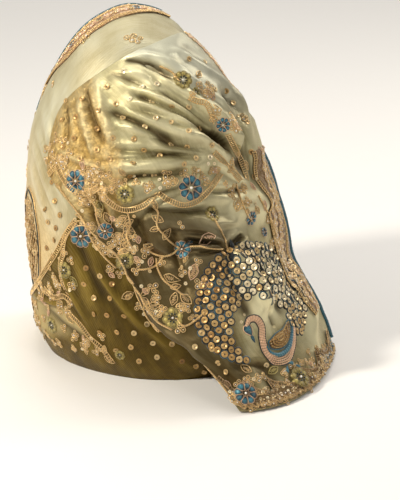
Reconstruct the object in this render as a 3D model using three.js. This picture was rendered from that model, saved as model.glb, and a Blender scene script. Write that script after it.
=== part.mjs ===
// A silk saree folded lengthwise, bent over into a rounded mound and dressed for display.
// Millimetres, +Z up, front facing -Y, standing on z = 0 and centred over the origin.
// The hidden folds are one solid with layered edges at the back. Over it lie three stretches of cloth:
// the outer wrap that goes over the top, the lower body that turns round the front foot, and the
// gathered pallu whose scalloped end falls to the ground at the front right.
import * as THREE from "three";

const CLOTH = 2; // thickness of a dressed stretch: the cloth with its turned hem and embroidery backing
const TRIM = 1.2; // thickness of an embroidered band
const SEAM_GAP = 0.4; // air between pieces that lie on each other
const PIPING_RADIUS = 1.6;
const PIPING_GAP = 0.6; // air between the piping and the edge it runs along

// The mound seen from the front is bounded by its ridge, an arch from the left foot to the right foot.
const mound = {
  centreX: -10, // the floor point that the folds fan out from
  frontDepth: 89, // ridge foot to the front of the base
  backDepth: 85, // ridge foot to the back of the base
  ridgeLean: 20, // the top of the ridge stands this far behind its feet
  footSquareness: 1.75, // 2 would make the base an ellipse
  topSquareness: 3.4, // higher keeps the front face upright for longer
  backSquareness: 4,
  tuckHeight: 26, // below this height the cloth turns under
  tuckShare: 0.07, // how far it turns under, as a share of the depth
};

const ridgeOutline = [
  { x: -106, z: 0 },
  { x: -113, z: 42 },
  { x: -118, z: 88 },
  { x: -118, z: 130 },
  { x: -114, z: 170 },
  { x: -105, z: 197 },
  { x: -92, z: 221 },
  { x: -76, z: 244 },
  { x: -59, z: 258 },
  { x: -37, z: 266 },
  { x: -7, z: 257 },
  { x: 10, z: 239 },
  { x: 25, z: 211 },
  { x: 46, z: 174 },
  { x: 63, z: 138 },
  { x: 73, z: 106 },
  { x: 84, z: 68 },
  { x: 88, z: 36 },
  { x: 89, z: 0 },
];
const ridge = new THREE.CatmullRomCurve3(
  ridgeOutline.map((p) => new THREE.Vector3(p.x, 0, p.z)),
  false,
  "centripetal",
);
const RIDGE_SAMPLES = 360;
const ridgePoints = ridge.getSpacedPoints(RIDGE_SAMPLES);

const clamp01 = (v) => Math.min(1, Math.max(0, v));
const ease = (v) => clamp01(v) ** 2 * (3 - 2 * clamp01(v));
const mix = (a, b, k) => a + (b - a) * k;

// Angle about the floor centre: 0 at the right foot, PI at the left foot.
const bearingOf = (x, z) => Math.atan2(Math.max(0, z), x - mound.centreX);
const ridgeBearings = ridgePoints.map((p) => bearingOf(p.x, p.z));

function ridgeReach(bearing) {
  let i = 1;
  while (i < RIDGE_SAMPLES && ridgeBearings[i] > bearing) i++;
  const [a, b] = [ridgePoints[i - 1], ridgePoints[i]];
  const k = clamp01((ridgeBearings[i - 1] - bearing) / (ridgeBearings[i - 1] - ridgeBearings[i]));
  return Math.hypot(mix(a.x, b.x, k) - mound.centreX, mix(a.z, b.z, k));
}

const ridgeY = (bearing) => mound.ridgeLean * Math.max(0, Math.sin(bearing)) ** 1.5;
const depthAt = (bearing, front) =>
  front ? mound.frontDepth + ridgeY(bearing) : mound.backDepth - ridgeY(bearing);
const squarenessAt = (bearing, front) =>
  front ? mix(mound.footSquareness, mound.topSquareness, Math.sin(bearing) ** 2) : mound.backSquareness;
const tuck = (z) => 1 - mound.tuckShare * clamp01(1 - z / mound.tuckHeight) ** 2;

// Where a point of the front view lies between the floor centre (share 0) and the ridge (share 1).
function placeInView(x, z) {
  const openX = mound.centreX + (x - mound.centreX) / tuck(z);
  const bearing = bearingOf(openX, z);
  return { bearing, share: Math.hypot(openX - mound.centreX, Math.max(0, z)) / ridgeReach(bearing) };
}

// 1 on the mound's surface, less inside it and more outside.
function moundField(x, y, z) {
  const { bearing, share } = placeInView(x, z);
  const front = y < ridgeY(bearing);
  const depth = (y - ridgeY(bearing)) / (depthAt(bearing, front) * tuck(z));
  return share ** squarenessAt(bearing, front) + depth ** 2;
}

// A point moved straight out of the mound, or along the floor where it stands on it.
function movedOut(p, distance) {
  const H = 0.4;
  const slope = (dx, dy, dz) =>
    moundField(p.x + dx, p.y + dy, p.z + dz) - moundField(p.x - dx, p.y - dy, Math.max(0, p.z - dz));
  const onFloor = p.z < 1;
  const out = new THREE.Vector3(slope(H, 0, 0), slope(0, H, 0), onFloor ? 0 : slope(0, 0, H));
  return p.clone().add(out.normalize().multiplyScalar(distance));
}

// A point of the mound by its bearing and the angle of its turn over the ridge:
// 0 front centre, 90 the ridge itself, 180 back centre.
function overRidgeAt(bearing, turn) {
  const angle = THREE.MathUtils.degToRad(turn);
  const front = turn <= 90;
  const share = Math.max(0, Math.sin(angle)) ** (2 / squarenessAt(bearing, front));
  const reach = ridgeReach(bearing) * share;
  const z = reach * Math.max(0, Math.sin(bearing));
  return new THREE.Vector3(
    mound.centreX + reach * Math.cos(bearing) * tuck(z),
    ridgeY(bearing) - depthAt(bearing, front) * Math.cos(angle) * tuck(z),
    z,
  );
}

// The same by the place along the ridge, 0 at the left foot and 1 at the right foot.
function overRidge(along, turn) {
  const foot = ridge.getPointAt(clamp01(along));
  return overRidgeAt(bearingOf(foot.x, foot.z), turn);
}

// A point of the mound by its way round (degrees to the left of straight ahead) and its height.
function roundAbout(degrees, z) {
  const angle = THREE.MathUtils.degToRad(degrees);
  const at = (reach) => [mound.centreX - reach * Math.sin(angle), -reach * Math.cos(angle), z];
  let [near, far] = [10, 160];
  for (let i = 0; i < 30; i++) {
    const middle = (near + far) / 2;
    if (moundField(...at(middle)) < 1) near = middle;
    else far = middle;
  }
  return new THREE.Vector3(...at(near));
}

// Folds of the dressed cloth, seen from the front. Each runs from (x0, z0) by (x1, z1) to (x2, z2).
// height is its crest above the plain drape, width its half width.
const folds = [
  { x0: -38, z0: 228, x1: 6, z1: 214, x2: 46, z2: 160, height: 7, width: 8 }, // crest over the deep crease
  { x0: -20, z0: 246, x1: 20, z1: 216, x2: 48, z2: 160, height: 8, width: 7 }, // crest below the garland
  { x0: 8, z0: 240, x1: 44, z1: 196, x2: 58, z2: 142, height: 6, width: 8 }, // crest beside the ridge
  { x0: -60, z0: 176, x1: -20, z1: 168, x2: 34, z2: 172, height: 5, width: 9 }, // soft fold across the breast
  { x0: -52, z0: 202, x1: -20, z1: 200, x2: 24, z2: 186, height: 4, width: 8 },
  { x0: -50, z0: 150, x1: -4, z1: 146, x2: 46, z2: 150, height: 4, width: 10 },
  { x0: -34, z0: 128, x1: 6, z1: 132, x2: 36, z2: 112, height: 6, width: 10 }, // fold above the pinch
  { x0: 36, z0: 131, x1: 54, z1: 133, x2: 72, z2: 120, height: 5, width: 8 }, // fold under the ridge crests
  { x0: -8, z0: 92, x1: 16, z1: 100, x2: 38, z2: 110, height: 6, width: 8 }, // fold below the pinch
  { x0: 38, z0: 106, x1: 56, z1: 82, x2: 74, z2: 58, height: 6, width: 9 }, // crest down the fan
  { x0: 86, z0: 74, x1: 96, z1: 50, x2: 110, z2: 22, height: 4, width: 7 }, // fold beside the right edge
  { x0: -28, z0: 70, x1: -6, z1: 56, x2: 20, z2: 20, height: 3, width: 8 }, // roll along the free left edge
];
const FOLD_STEPS = 10;

const foldPaths = folds.map((f) => {
  const path = new THREE.QuadraticBezierCurve(
    new THREE.Vector2(f.x0, f.z0),
    new THREE.Vector2(f.x1, f.z1),
    new THREE.Vector2(f.x2, f.z2),
  );
  return { ...f, points: path.getPoints(FOLD_STEPS) };
});

// Height of the folds above the plain drape at a point of the front view.
function foldLift(x, z) {
  let lift = 0;
  for (const fold of foldPaths) {
    let nearest = Infinity;
    let along = 0;
    for (let i = 0; i < FOLD_STEPS; i++) {
      const [a, b] = [fold.points[i], fold.points[i + 1]];
      const [dx, dz] = [b.x - a.x, b.y - a.y];
      const k = clamp01(((x - a.x) * dx + (z - a.y) * dz) / (dx * dx + dz * dz));
      const gap = Math.hypot(x - a.x - k * dx, z - a.y - k * dz);
      if (gap < nearest) [nearest, along] = [gap, (i + k) / FOLD_STEPS];
    }
    const taper = ease(along / 0.3) * ease((1 - along) / 0.18);
    lift += fold.height * taper * Math.exp(-((nearest / fold.width) ** 2));
  }
  return lift;
}

// Unit normal of a surface, on the side that along x across points to.
function normalAt(surface, along, across) {
  const STEP = 0.004;
  const [a0, a1] = [Math.max(0, along - STEP), Math.min(1, along + STEP)];
  const [c0, c1] = [Math.max(0, across - STEP), Math.min(1, across + STEP)];
  const alongway = surface(a1, across).sub(surface(a0, across));
  const crossway = surface(along, c1).sub(surface(along, c0));
  return alongway.cross(crossway).normalize();
}

const steps = (count, from = 0, to = 1) =>
  Array.from({ length: count + 1 }, (_, i) => mix(from, to, i / count));

// A closed wall of even thickness whose middle lies `lift` off a surface. The surface runs 0 to 1 both ways.
function wall(surface, alongs, acrosses, thickness, lift = 0) {
  const positions = [];
  const width = acrosses.length;
  const count = alongs.length * width;
  for (const side of [0.5, -0.5])
    for (const along of alongs)
      for (const across of acrosses) {
        const out = normalAt(surface, along, across).multiplyScalar(lift + side * thickness);
        const point = surface(along, across).add(out);
        positions.push(point.x, point.y, Math.max(0, point.z));
      }
  const faces = [];
  const quad = (a, b, c, d) => faces.push(a, b, c, a, c, d);
  const outer = (i, j) => i * width + j;
  const inner = (i, j) => count + outer(i, j);
  const [lastRow, lastColumn] = [alongs.length - 1, width - 1];
  for (let i = 0; i < lastRow; i++)
    for (let j = 0; j < lastColumn; j++) {
      quad(outer(i, j), outer(i + 1, j), outer(i + 1, j + 1), outer(i, j + 1));
      quad(inner(i, j), inner(i, j + 1), inner(i + 1, j + 1), inner(i + 1, j));
    }
  for (let i = 0; i < lastRow; i++) {
    quad(outer(i, 0), inner(i, 0), inner(i + 1, 0), outer(i + 1, 0));
    quad(outer(i, lastColumn), outer(i + 1, lastColumn), inner(i + 1, lastColumn), inner(i, lastColumn));
  }
  for (let j = 0; j < lastColumn; j++) {
    quad(outer(0, j), outer(0, j + 1), inner(0, j + 1), inner(0, j));
    quad(outer(lastRow, j + 1), outer(lastRow, j), inner(lastRow, j), inner(lastRow, j + 1));
  }
  const geometry = new THREE.BufferGeometry();
  geometry.setAttribute("position", new THREE.Float32BufferAttribute(positions, 3));
  geometry.setIndex(faces);
  return geometry;
}

// ---- the outer wrap: over the ridge from the left foot to the right foot ------------------------

// along 0 to 1; front is the turn at which it disappears under the pallu, back the turn of its free selvedge.
const wrapStations = [
  { along: 0, front: 20, back: 126 },
  { along: 0.15, front: 24, back: 122 },
  { along: 0.3, front: 28, back: 114 },
  { along: 0.42, front: 36, back: 104 },
  { along: 0.6, front: 50, back: 103 },
  { along: 0.8, front: 56, back: 105 },
  { along: 1, front: 50, back: 112 },
];

function atStation(stations, along, column) {
  const i = Math.max(1, stations.findIndex((s) => s.along >= along));
  const [a, b] = [stations[i - 1], stations[i]];
  return mix(a[column], b[column], ease((along - a.along) / (b.along - a.along)));
}

const wrapTurn = (along, edge) => atStation(wrapStations, along, edge);

const wrapSurface = (along, across) =>
  overRidge(along, mix(wrapTurn(along, "front"), wrapTurn(along, "back"), across));

// ---- the hidden folds -------------------------------------------------------------------------

const core = {
  inset: 2.4, // under the dressed cloth
  stations: 38,
  frontTurns: [0, 9, 22, 36, 50, 64, 76, 90],
  layers: 7, // folded layers that show as nested arches at the back
  edgeGap: 0.014, // from the wrap's free selvedge to the first layer, as a share of the reach
  innerShare: 0.16, // where the innermost layer ends
  layerRound: 3.2, // how far each folded edge rounds out
  stagger: 2, // every other layer stands this much prouder
  closing: 0.4, // the innermost edge has closed to this share of innerShare before the centre
};
const layerProfile = [
  { down: 0.06, proud: -1 }, // down the layer as a share of its width; -1 is the groove, 1 the crest
  { down: 0.26, proud: 0.7 },
  { down: 0.55, proud: 1 },
  { down: 0.84, proud: 0.7 },
];

function backPoint(along, share, proud) {
  const turn = 180 - THREE.MathUtils.radToDeg(Math.asin(share ** (mound.backSquareness / 2)));
  return movedOut(overRidge(along, turn), proud);
}

const wrapShare = (along) =>
  Math.sin(THREE.MathUtils.degToRad(wrapTurn(along, "back"))) ** (2 / mound.backSquareness);

function hiddenFolds() {
  const rows = core.frontTurns.map((turn) => (along) => movedOut(overRidge(along, turn), -core.inset));
  for (const k of [0.5, 1])
    rows.push((along) => movedOut(overRidge(along, mix(90, wrapTurn(along, "back"), k)), -core.inset));
  for (let layer = 0; layer < core.layers; layer++) {
    const step = layer % 2 ? core.stagger : 0;
    for (const { down, proud } of layerProfile) {
      const height = proud < 0 ? -core.inset : proud * core.layerRound + step;
      rows.push((along) => {
        const first = wrapShare(along) - core.edgeGap;
        return backPoint(along, mix(first, core.innerShare, (layer + down) / core.layers), height);
      });
    }
  }
  rows.push((along) => backPoint(along, core.innerShare * 0.9, 0));
  rows.push((along) => backPoint(along, core.innerShare * core.closing, core.layerRound));
  rows.push((along) => backPoint(along, 0, core.layerRound));

  const positions = [];
  const faces = [];
  const last = rows.length - 1;
  const alongs = steps(core.stations);
  const push = (p) => positions.push(p.x, p.y, Math.max(0, p.z)) / 3 - 1;
  const frontPole = push(rows[0](0));
  const backPole = push(rows[last](0));
  const ring = rows.slice(1, last).map((row) => alongs.map((along) => push(row(along))));
  const lastRing = ring.length - 1;
  const strip = (a, b) => {
    faces.push(frontPole, ring[0][b], ring[0][a]);
    for (let r = 0; r < lastRing; r++) {
      faces.push(ring[r][a], ring[r][b], ring[r + 1][b]);
      faces.push(ring[r][a], ring[r + 1][b], ring[r + 1][a]);
    }
    faces.push(backPole, ring[lastRing][a], ring[lastRing][b]);
  };
  for (let i = 0; i < core.stations; i++) strip(i, i + 1);
  strip(core.stations, 0); // the flat underside
  const geometry = new THREE.BufferGeometry();
  geometry.setAttribute("position", new THREE.Float32BufferAttribute(positions, 3));
  geometry.setIndex(faces);
  return geometry;
}

// ---- cloth laid on the front by sections -------------------------------------------------------

// A curve through four values at 0, 1/3, 2/3 and 1.
function throughFour(a, b, c, d, k) {
  const m = 3 * k;
  return (
    (-a * (m - 1) * (m - 2) * (m - 3)) / 6 +
    (b * m * (m - 2) * (m - 3)) / 2 -
    (c * m * (m - 1) * (m - 3)) / 2 +
    (d * m * (m - 1) * (m - 2)) / 6
  );
}

// The value of a column of a section table at a place between its rows, on a smooth curve.
function between(rows, value, at) {
  const last = rows.length - 1;
  const place = clamp01(at) * last;
  const i = Math.min(last - 1, Math.floor(place));
  const k = place - i;
  const v = [i - 1, i, i + 1, i + 2].map((r) => value(rows[Math.min(last, Math.max(0, r))]));
  return (
    0.5 *
    (2 * v[1] + (v[2] - v[0]) * k + (2 * v[0] - 5 * v[1] + 4 * v[2] - v[3]) * k ** 2 +
      (3 * v[1] - v[0] - 3 * v[2] + v[3]) * k ** 3)
  );
}

// The lower body: one stretch that sweeps round the foot of the mound from the back left to the front right.
// round is in degrees to the left of straight ahead, top the height of its upper edge.
const LOWER_BODY_LIFT = 3.3;
const bodyTop = [
  { round: 113, top: 35 },
  { round: 100, top: 38 },
  { round: 86, top: 43 },
  { round: 68, top: 66 },
  { round: 53, top: 97 },
  { round: 42, top: 128 },
  { round: 30, top: 124 },
  { round: 18, top: 100 },
  { round: 6, top: 72 },
  { round: -8, top: 52 },
  { round: -22, top: 42 },
  { round: -38, top: 34 },
];

function bodySurface(down, across) {
  const round = between(bodyTop, (row) => row.round, across);
  const z = between(bodyTop, (row) => row.top, across) * (1 - down);
  return movedOut(roundAbout(round, z), LOWER_BODY_LIFT);
}

// The pallu: from the arched fold at the top, over the breast of the mound, to its scalloped end.
// Each section has four places [x, z] in the front view, from its left edge to its right edge. lift is how
// far it lies off the mound and over how far its right edge turns over the ridge. free is the share by
// which the section has left the mound, and y its own depths there.
const palluSections = [
  { places: [[-98, 157], [-80, 212], [-39, 243], [9, 242]], lift: 3.6, over: 102, free: 0 },
  { places: [[-92, 152], [-59, 196], [-16, 225], [28, 208]], lift: 4.8, over: 104, free: 0 },
  { places: [[-83, 143], [-43, 172], [2, 192], [44, 179]], lift: 6, over: 100, free: 0 },
  { places: [[-73, 133], [-35, 148], [14, 165], [58, 155]], lift: 6.4, over: 95, free: 0 },
  { places: [[-62, 118], [-24, 124], [20, 137], [67, 127]], lift: 6.6, over: 93, free: 0 },
  {
    places: [[-48, 106], [-9, 105], [34, 113], [80, 101]],
    lift: 6.8, over: 91, free: 0.15, y: [-97, -102, -86, 2],
  },
  { places: [[-34, 84], [6, 82], [49, 90], [87, 72]], lift: 7, over: 90, free: 0.7, y: [-101, -109, -92, 3] },
  { places: [[-19, 55], [21, 59], [64, 65], [99, 49]], lift: 7, over: 90, free: 1, y: [-106, -121, -96, 2] },
  {
    places: [[10, 44], [38, 34], [80, 34], [111, 28]],
    lift: 7, over: 90, free: 1, y: [-124, -133, -100, -4],
  },
  { places: [[47, 1], [85, 1], [111, 1], [122, 1]], lift: 7, over: 90, free: 1, y: [-151, -132, -85, -17] },
];

// A place unrolled from the mound on to a plane: its distance from the centre is its turn in degrees.
function unrolled([x, z], turnOverRidge) {
  const { bearing, share } = placeInView(x, z);
  const edge = Math.min(1, share) ** (squarenessAt(bearing, true) / 2);
  const turn = turnOverRidge ?? THREE.MathUtils.radToDeg(Math.asin(edge));
  return [turn * Math.cos(bearing), turn * Math.sin(bearing)];
}

function palluDrape(down, across) {
  const column = (value) => {
    const at = (c) => between(palluSections, (row) => value(row, c), down);
    return throughFour(at(0), at(1), at(2), at(3), across);
  };
  const laid = (row, c) => unrolled(row.places[c], c === 3 ? row.over : undefined);
  const [a, b] = [column((row, c) => laid(row, c)[0]), column((row, c) => laid(row, c)[1])];
  const lift = between(palluSections, (row) => row.lift, down);
  const point = movedOut(overRidgeAt(Math.atan2(b, a), Math.hypot(a, b)), lift);
  const free = ease(between(palluSections, (row) => row.free, down));
  if (free > 0) {
    const x = column((row, c) => row.places[c][0]);
    const y = column((row, c) => (row.y ? row.y[c] : point.y));
    const z = Math.max(CLOTH / 2, column((row, c) => row.places[c][1]));
    point.lerp(new THREE.Vector3(x, y, z), free);
  }
  return point;
}

const foldFade = { hem: 0.07, left: 0.05, right: 0.06 }; // shares of the pallu in which its folds die out
function palluSurface(down, across) {
  const point = palluDrape(down, across);
  const fadeAcross = ease(across / foldFade.left) * ease((1 - across) / foldFade.right);
  const fade = ease((1 - down) / foldFade.hem) * fadeAcross;
  const lift = foldLift(point.x, point.z) * fade;
  return lift ? point.add(normalAt(palluDrape, down, across).multiplyScalar(lift)) : point;
}

// ---- embroidered borders and piping --------------------------------------------------------------

const onCloth = CLOTH / 2 + SEAM_GAP + TRIM / 2; // a band's middle above the middle of the cloth under it
const wrapBand = { firstRow: 5, lastRow: 26 }; // rows of the wrap's own grid
const wrapBandStations = [
  { along: 0.1, inner: 0.9 }, // inner is where the band begins across the wrap
  { along: 0.3, inner: 0.9 },
  { along: 0.41, inner: 0.64 }, // it comes over the ridge at the top
  { along: 0.48, inner: 0.64 },
  { along: 0.55, inner: 0.83 }, // and runs in under the pallu
  { along: 0.6, inner: 0.83 },
];
const palluBand = { firstRow: 14, lastRow: 35, columns: 4 }; // rows and columns of the pallu's own grid
const hemBand = {
  from: 0.94, // down the pallu, where the scallops meet
  to: 0.985,
  scallops: 5,
  scallopDepth: 0.03, // how far each sags between its cusps
  points: 24, // small scallops along the free edge
  pointDepth: 0.012,
  left: 0.02, // across the pallu
  right: 0.96,
  lift: 2.9,
};

// The part of a row of grid steps that a band covers.
const rowsOf = (grid, band) => grid.slice(band.firstRow, band.lastRow + 1);
const lastColumns = (grid, band) => grid.slice(-band.columns - 1);

const wrapBandSurface = (along, across) =>
  wrapSurface(along, mix(atStation(wrapBandStations, along, "inner"), 1, across));

function hemBandSurface(down, across) {
  const wide = mix(hemBand.left, hemBand.right, across);
  const scallop = Math.abs(Math.sin(Math.PI * hemBand.scallops * across)) * hemBand.scallopDepth;
  const point = Math.abs(Math.sin(Math.PI * hemBand.points * across)) * hemBand.pointDepth;
  return palluSurface(mix(hemBand.from + scallop, hemBand.to + point, down), wide);
}

// A closed round cord along the across = 1 edge of a surface, lying just past it.
function edgeCord(surface, alongs, sides = 6) {
  const centres = alongs.map((along) => {
    const edge = surface(along, 1);
    const past = edge.clone().sub(surface(along, 0.98)).normalize();
    const point = edge.addScaledVector(past, PIPING_RADIUS + PIPING_GAP);
    point.z = Math.max(PIPING_RADIUS + SEAM_GAP, point.z);
    return point;
  });
  const path = new THREE.CatmullRomCurve3(centres);
  const circle = Array.from({ length: sides }, (_, i) => {
    const angle = (2 * Math.PI * i) / sides;
    return new THREE.Vector2(PIPING_RADIUS * Math.cos(angle), PIPING_RADIUS * Math.sin(angle));
  });
  return new THREE.ExtrudeGeometry(new THREE.Shape(circle), {
    steps: 2 * alongs.length - 2,
    extrudePath: path,
    bevelEnabled: false,
  });
}

// ---- pieces ------------------------------------------------------------------------------------

const silk = (colour, roughness = 0.45) =>
  new THREE.MeshStandardMaterial({ color: colour, roughness, metalness: 0 });
const champagne = silk("#c3b483");
const olive = silk("#8f8450");
const paleSilk = silk("#d8cfa6");
const embroidery = silk("#c9a671", 0.7);
const teal = silk("#1d6a80", 0.6);

const saree = new THREE.Group();
function piece(name, geometry, material) {
  const mesh = new THREE.Mesh(geometry, material);
  mesh.name = name;
  saree.add(mesh);
}

const wrapGrid = { rows: steps(48), columns: steps(12) };
const palluGrid = { rows: steps(40), columns: steps(32) };
const wrapBandRows = rowsOf(wrapGrid.rows, wrapBand);
const palluBandRows = rowsOf(palluGrid.rows, palluBand);
const palluBandColumns = lastColumns(palluGrid.columns, palluBand);
const palluCordRows = palluGrid.rows.slice(palluBand.firstRow, -1);

piece("hidden_folds", hiddenFolds(), champagne);
piece("outer_wrap", wall(wrapSurface, wrapGrid.rows, wrapGrid.columns, CLOTH), paleSilk);
piece("outer_wrap_border", wall(wrapBandSurface, wrapBandRows, steps(6), TRIM, onCloth), embroidery);
piece("outer_wrap_piping", edgeCord(wrapSurface, wrapBandRows), teal);
piece("lower_body", wall(bodySurface, steps(9), steps(26), CLOTH), olive);
piece("pallu", wall(palluSurface, palluGrid.rows, palluGrid.columns, CLOTH), champagne);
const selvedgeWork = wall(palluSurface, palluBandRows, palluBandColumns, TRIM, onCloth);
piece("pallu_selvedge_border", selvedgeWork, embroidery);
piece("pallu_hem_border", wall(hemBandSurface, steps(3), steps(96), TRIM, hemBand.lift), embroidery);
piece("pallu_piping", edgeCord(palluSurface, palluCordRows), teal);

const bounds = new THREE.Box3().setFromObject(saree);
const centre = bounds.getCenter(new THREE.Vector3());
saree.position.set(-centre.x, -centre.y, 0);

export default saree;
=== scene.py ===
from math import cos, pi, radians, sin

import bpy
import numpy as np
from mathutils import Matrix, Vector, noise
from mathutils.bvhtree import BVHTree


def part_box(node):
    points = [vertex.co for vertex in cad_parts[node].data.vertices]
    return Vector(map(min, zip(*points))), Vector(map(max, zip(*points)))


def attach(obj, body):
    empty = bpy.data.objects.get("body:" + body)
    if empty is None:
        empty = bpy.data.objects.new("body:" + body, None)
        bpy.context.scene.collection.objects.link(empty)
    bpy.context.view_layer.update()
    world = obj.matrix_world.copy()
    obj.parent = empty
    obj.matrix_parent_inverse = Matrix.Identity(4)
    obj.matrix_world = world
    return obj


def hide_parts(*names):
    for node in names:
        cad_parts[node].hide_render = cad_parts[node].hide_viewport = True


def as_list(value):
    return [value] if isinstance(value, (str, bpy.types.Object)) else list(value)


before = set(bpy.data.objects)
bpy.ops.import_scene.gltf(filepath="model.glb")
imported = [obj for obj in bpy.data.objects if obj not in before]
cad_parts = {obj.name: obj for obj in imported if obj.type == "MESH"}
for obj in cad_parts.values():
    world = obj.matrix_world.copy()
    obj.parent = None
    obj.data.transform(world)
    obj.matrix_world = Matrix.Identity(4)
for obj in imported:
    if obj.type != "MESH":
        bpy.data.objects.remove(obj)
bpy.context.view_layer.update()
metre = 0.001  # everything below is worked out in millimetres


def ease(v):
    v = np.clip(v, 0, 1)
    return v * v * (3 - 2 * v)


def mix(a, b, k):
    return a + (b - a) * k


def unit(v):
    return v / np.maximum(np.linalg.norm(v, axis=-1, keepdims=True), 1e-9)


# Screen colour 0..255 to Blender's linear colour.
def paint(*screen):
    return tuple(((c / 255 + 0.055) / 1.055) ** 2.4 if c > 10 else c / 3294 for c in screen) + (1,)


def roundTurn(count):
    return np.linspace(0, 2 * pi, count, endpoint=False)


# Smooth noise of about -1..1 at points, with bumps of that size.
def rough(points, size, octaves=3, seed=0.0):
    flat = points.reshape(-1, 3) / size + seed
    values = [noise.fractal(p, 1.0, 2.0, octaves) for p in flat.tolist()]
    return np.array(values).reshape(points.shape[:-1])


# The mound that the saree is dressed into, as in the solids.
mound = dict(centreX=-10, frontDepth=89, backDepth=85, ridgeLean=20, footSquare=1.75, topSquare=3.4,
             backSquare=4, tuckHeight=26, tuckShare=0.07)
ridgeOutline = np.array([
    (-106, 0), (-113, 42), (-118, 88), (-118, 130), (-114, 170), (-105, 197), (-92, 221), (-76, 244),
    (-59, 258), (-37, 266), (-7, 257), (10, 239), (25, 211), (46, 174), (63, 138), (73, 106), (84, 68),
    (88, 36), (89, 0)], float)


# Centripetal curve through points, cut into even steps.
def smoothLine(points, count):
    p = np.asarray(points, float)
    p = np.vstack([2 * p[0] - p[1], p, 2 * p[-1] - p[-2]])
    made = []
    for i in range(1, len(p) - 2):
        a, b, c, d = p[i - 1:i + 3]
        t0, t1, t2 = (max(np.linalg.norm(q - r), 1e-6) ** 0.5 for q, r in ((b, a), (c, b), (d, c)))
        m1 = ((b - a) / t0 - (c - a) / (t0 + t1) + (c - b) / t1) * t1
        m2 = ((c - b) / t1 - (d - b) / (t1 + t2) + (d - c) / t2) * t1
        k = np.linspace(0, 1, 24, endpoint=i == len(p) - 3)[:, None]
        made.append(b + m1 * k + (3 * c - 3 * b - 2 * m1 - m2) * k ** 2 + (2 * b - 2 * c + m1 + m2) * k ** 3)
    line = np.vstack(made)
    run = np.concatenate([[0], np.cumsum(np.linalg.norm(np.diff(line, axis=0), axis=1))])
    even = np.linspace(0, run[-1], count)
    return np.stack([np.interp(even, run, line[:, c]) for c in range(line.shape[1])], 1)


ridge = smoothLine(ridgeOutline, 361)
ridgeBearing = np.arctan2(np.maximum(0, ridge[:, 1]), ridge[:, 0] - mound["centreX"])
ridgeReachAt = np.hypot(ridge[:, 0] - mound["centreX"], ridge[:, 1])


def ridgeReach(bearing):
    return np.interp(bearing, ridgeBearing[::-1], ridgeReachAt[::-1])


def ridgeY(bearing):
    return mound["ridgeLean"] * np.maximum(0, np.sin(bearing)) ** 1.5


def depthAt(bearing, front):
    return np.where(front, mound["frontDepth"] + ridgeY(bearing), mound["backDepth"] - ridgeY(bearing))


def squareness(bearing, front):
    frontSquare = mix(mound["footSquare"], mound["topSquare"], np.sin(bearing) ** 2)
    return np.where(front, frontSquare, mound["backSquare"])


def tuck(z):
    return 1 - mound["tuckShare"] * np.clip(1 - z / mound["tuckHeight"], 0, 1) ** 2


def placeInView(x, z):
    openX = mound["centreX"] + (x - mound["centreX"]) / tuck(z)
    bearing = np.arctan2(np.maximum(0, z), openX - mound["centreX"])
    return bearing, np.hypot(openX - mound["centreX"], np.maximum(0, z)) / ridgeReach(bearing)


def moundField(x, y, z):
    bearing, share = placeInView(x, z)
    front = y < ridgeY(bearing)
    depth = (y - ridgeY(bearing)) / (depthAt(bearing, front) * tuck(z))
    return share ** squareness(bearing, front) + depth ** 2


def movedOut(p, distance):
    x, y, z = np.moveaxis(p, -1, 0)
    h = 0.4
    out = np.stack([
        moundField(x + h, y, z) - moundField(x - h, y, z),
        moundField(x, y + h, z) - moundField(x, y - h, z),
        np.where(z < 1, 0, moundField(x, y, z + h) - moundField(x, y, np.maximum(0, z - h)))], -1)
    return p + unit(out) * np.asarray(distance)[..., None]


def overRidgeAt(bearing, turn):
    angle = np.radians(turn)
    front = turn <= 90
    share = np.maximum(0, np.sin(angle)) ** (2 / squareness(bearing, front))
    reach = ridgeReach(bearing) * share
    z = reach * np.maximum(0, np.sin(bearing))
    x = mound["centreX"] + reach * np.cos(bearing) * tuck(z)
    return np.stack([x, ridgeY(bearing) - depthAt(bearing, front) * np.cos(angle) * tuck(z), z], -1)


def overRidge(along, turn):
    bearing = np.interp(along, np.linspace(0, 1, len(ridge)), ridgeBearing)
    return overRidgeAt(bearing, turn)


def roundAbout(degrees, z):
    angle = np.radians(degrees)
    near, far = np.full_like(angle, 10.0), np.full_like(angle, 160.0)
    for _ in range(30):
        middle = (near + far) / 2
        inside = moundField(mound["centreX"] - middle * np.sin(angle), -middle * np.cos(angle), z) < 1
        near, far = np.where(inside, middle, near), np.where(inside, far, middle)
    return np.stack([mound["centreX"] - near * np.sin(angle), -near * np.cos(angle), z], -1)


# A column of a section table at places 0..1, on a smooth curve through its rows.
def between(values, at):
    values = np.asarray(values, float)
    last = len(values) - 1
    place = np.clip(at, 0, 1) * last
    i = np.minimum(last - 1, np.floor(place)).astype(int)
    k = place - i
    a, b, c, d = (values[np.clip(i + n, 0, last)] for n in (-1, 0, 1, 2))
    return 0.5 * (2 * b + (c - a) * k + (2 * a - 5 * b + 4 * c - d) * k ** 2
                  + (3 * b - a - 3 * c + d) * k ** 3)


def throughFour(four, k):
    m = 3 * k
    a, b, c, d = four
    return (-a * (m - 1) * (m - 2) * (m - 3) / 6 + b * m * (m - 2) * (m - 3) / 2
            - c * m * (m - 1) * (m - 3) / 2 + d * m * (m - 1) * (m - 2) / 6)


# The camera, and pixels of its frame. Lengths are in millimetres.
view = dict(elevation=20, distance=2200, mmPerPixel=0.8, aimX=17.2, aimUp=70.4, width=400, height=500,
            sensor=36)
tilt = radians(view["elevation"])
rightWay = np.array([1.0, 0, 0])
upWay = np.array([0, sin(tilt), cos(tilt)])
backWay = np.array([0, -cos(tilt), sin(tilt)])
aimPoint = view["aimX"] * rightWay + view["aimUp"] * upWay
cameraPoint = aimPoint + view["distance"] * backWay


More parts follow.
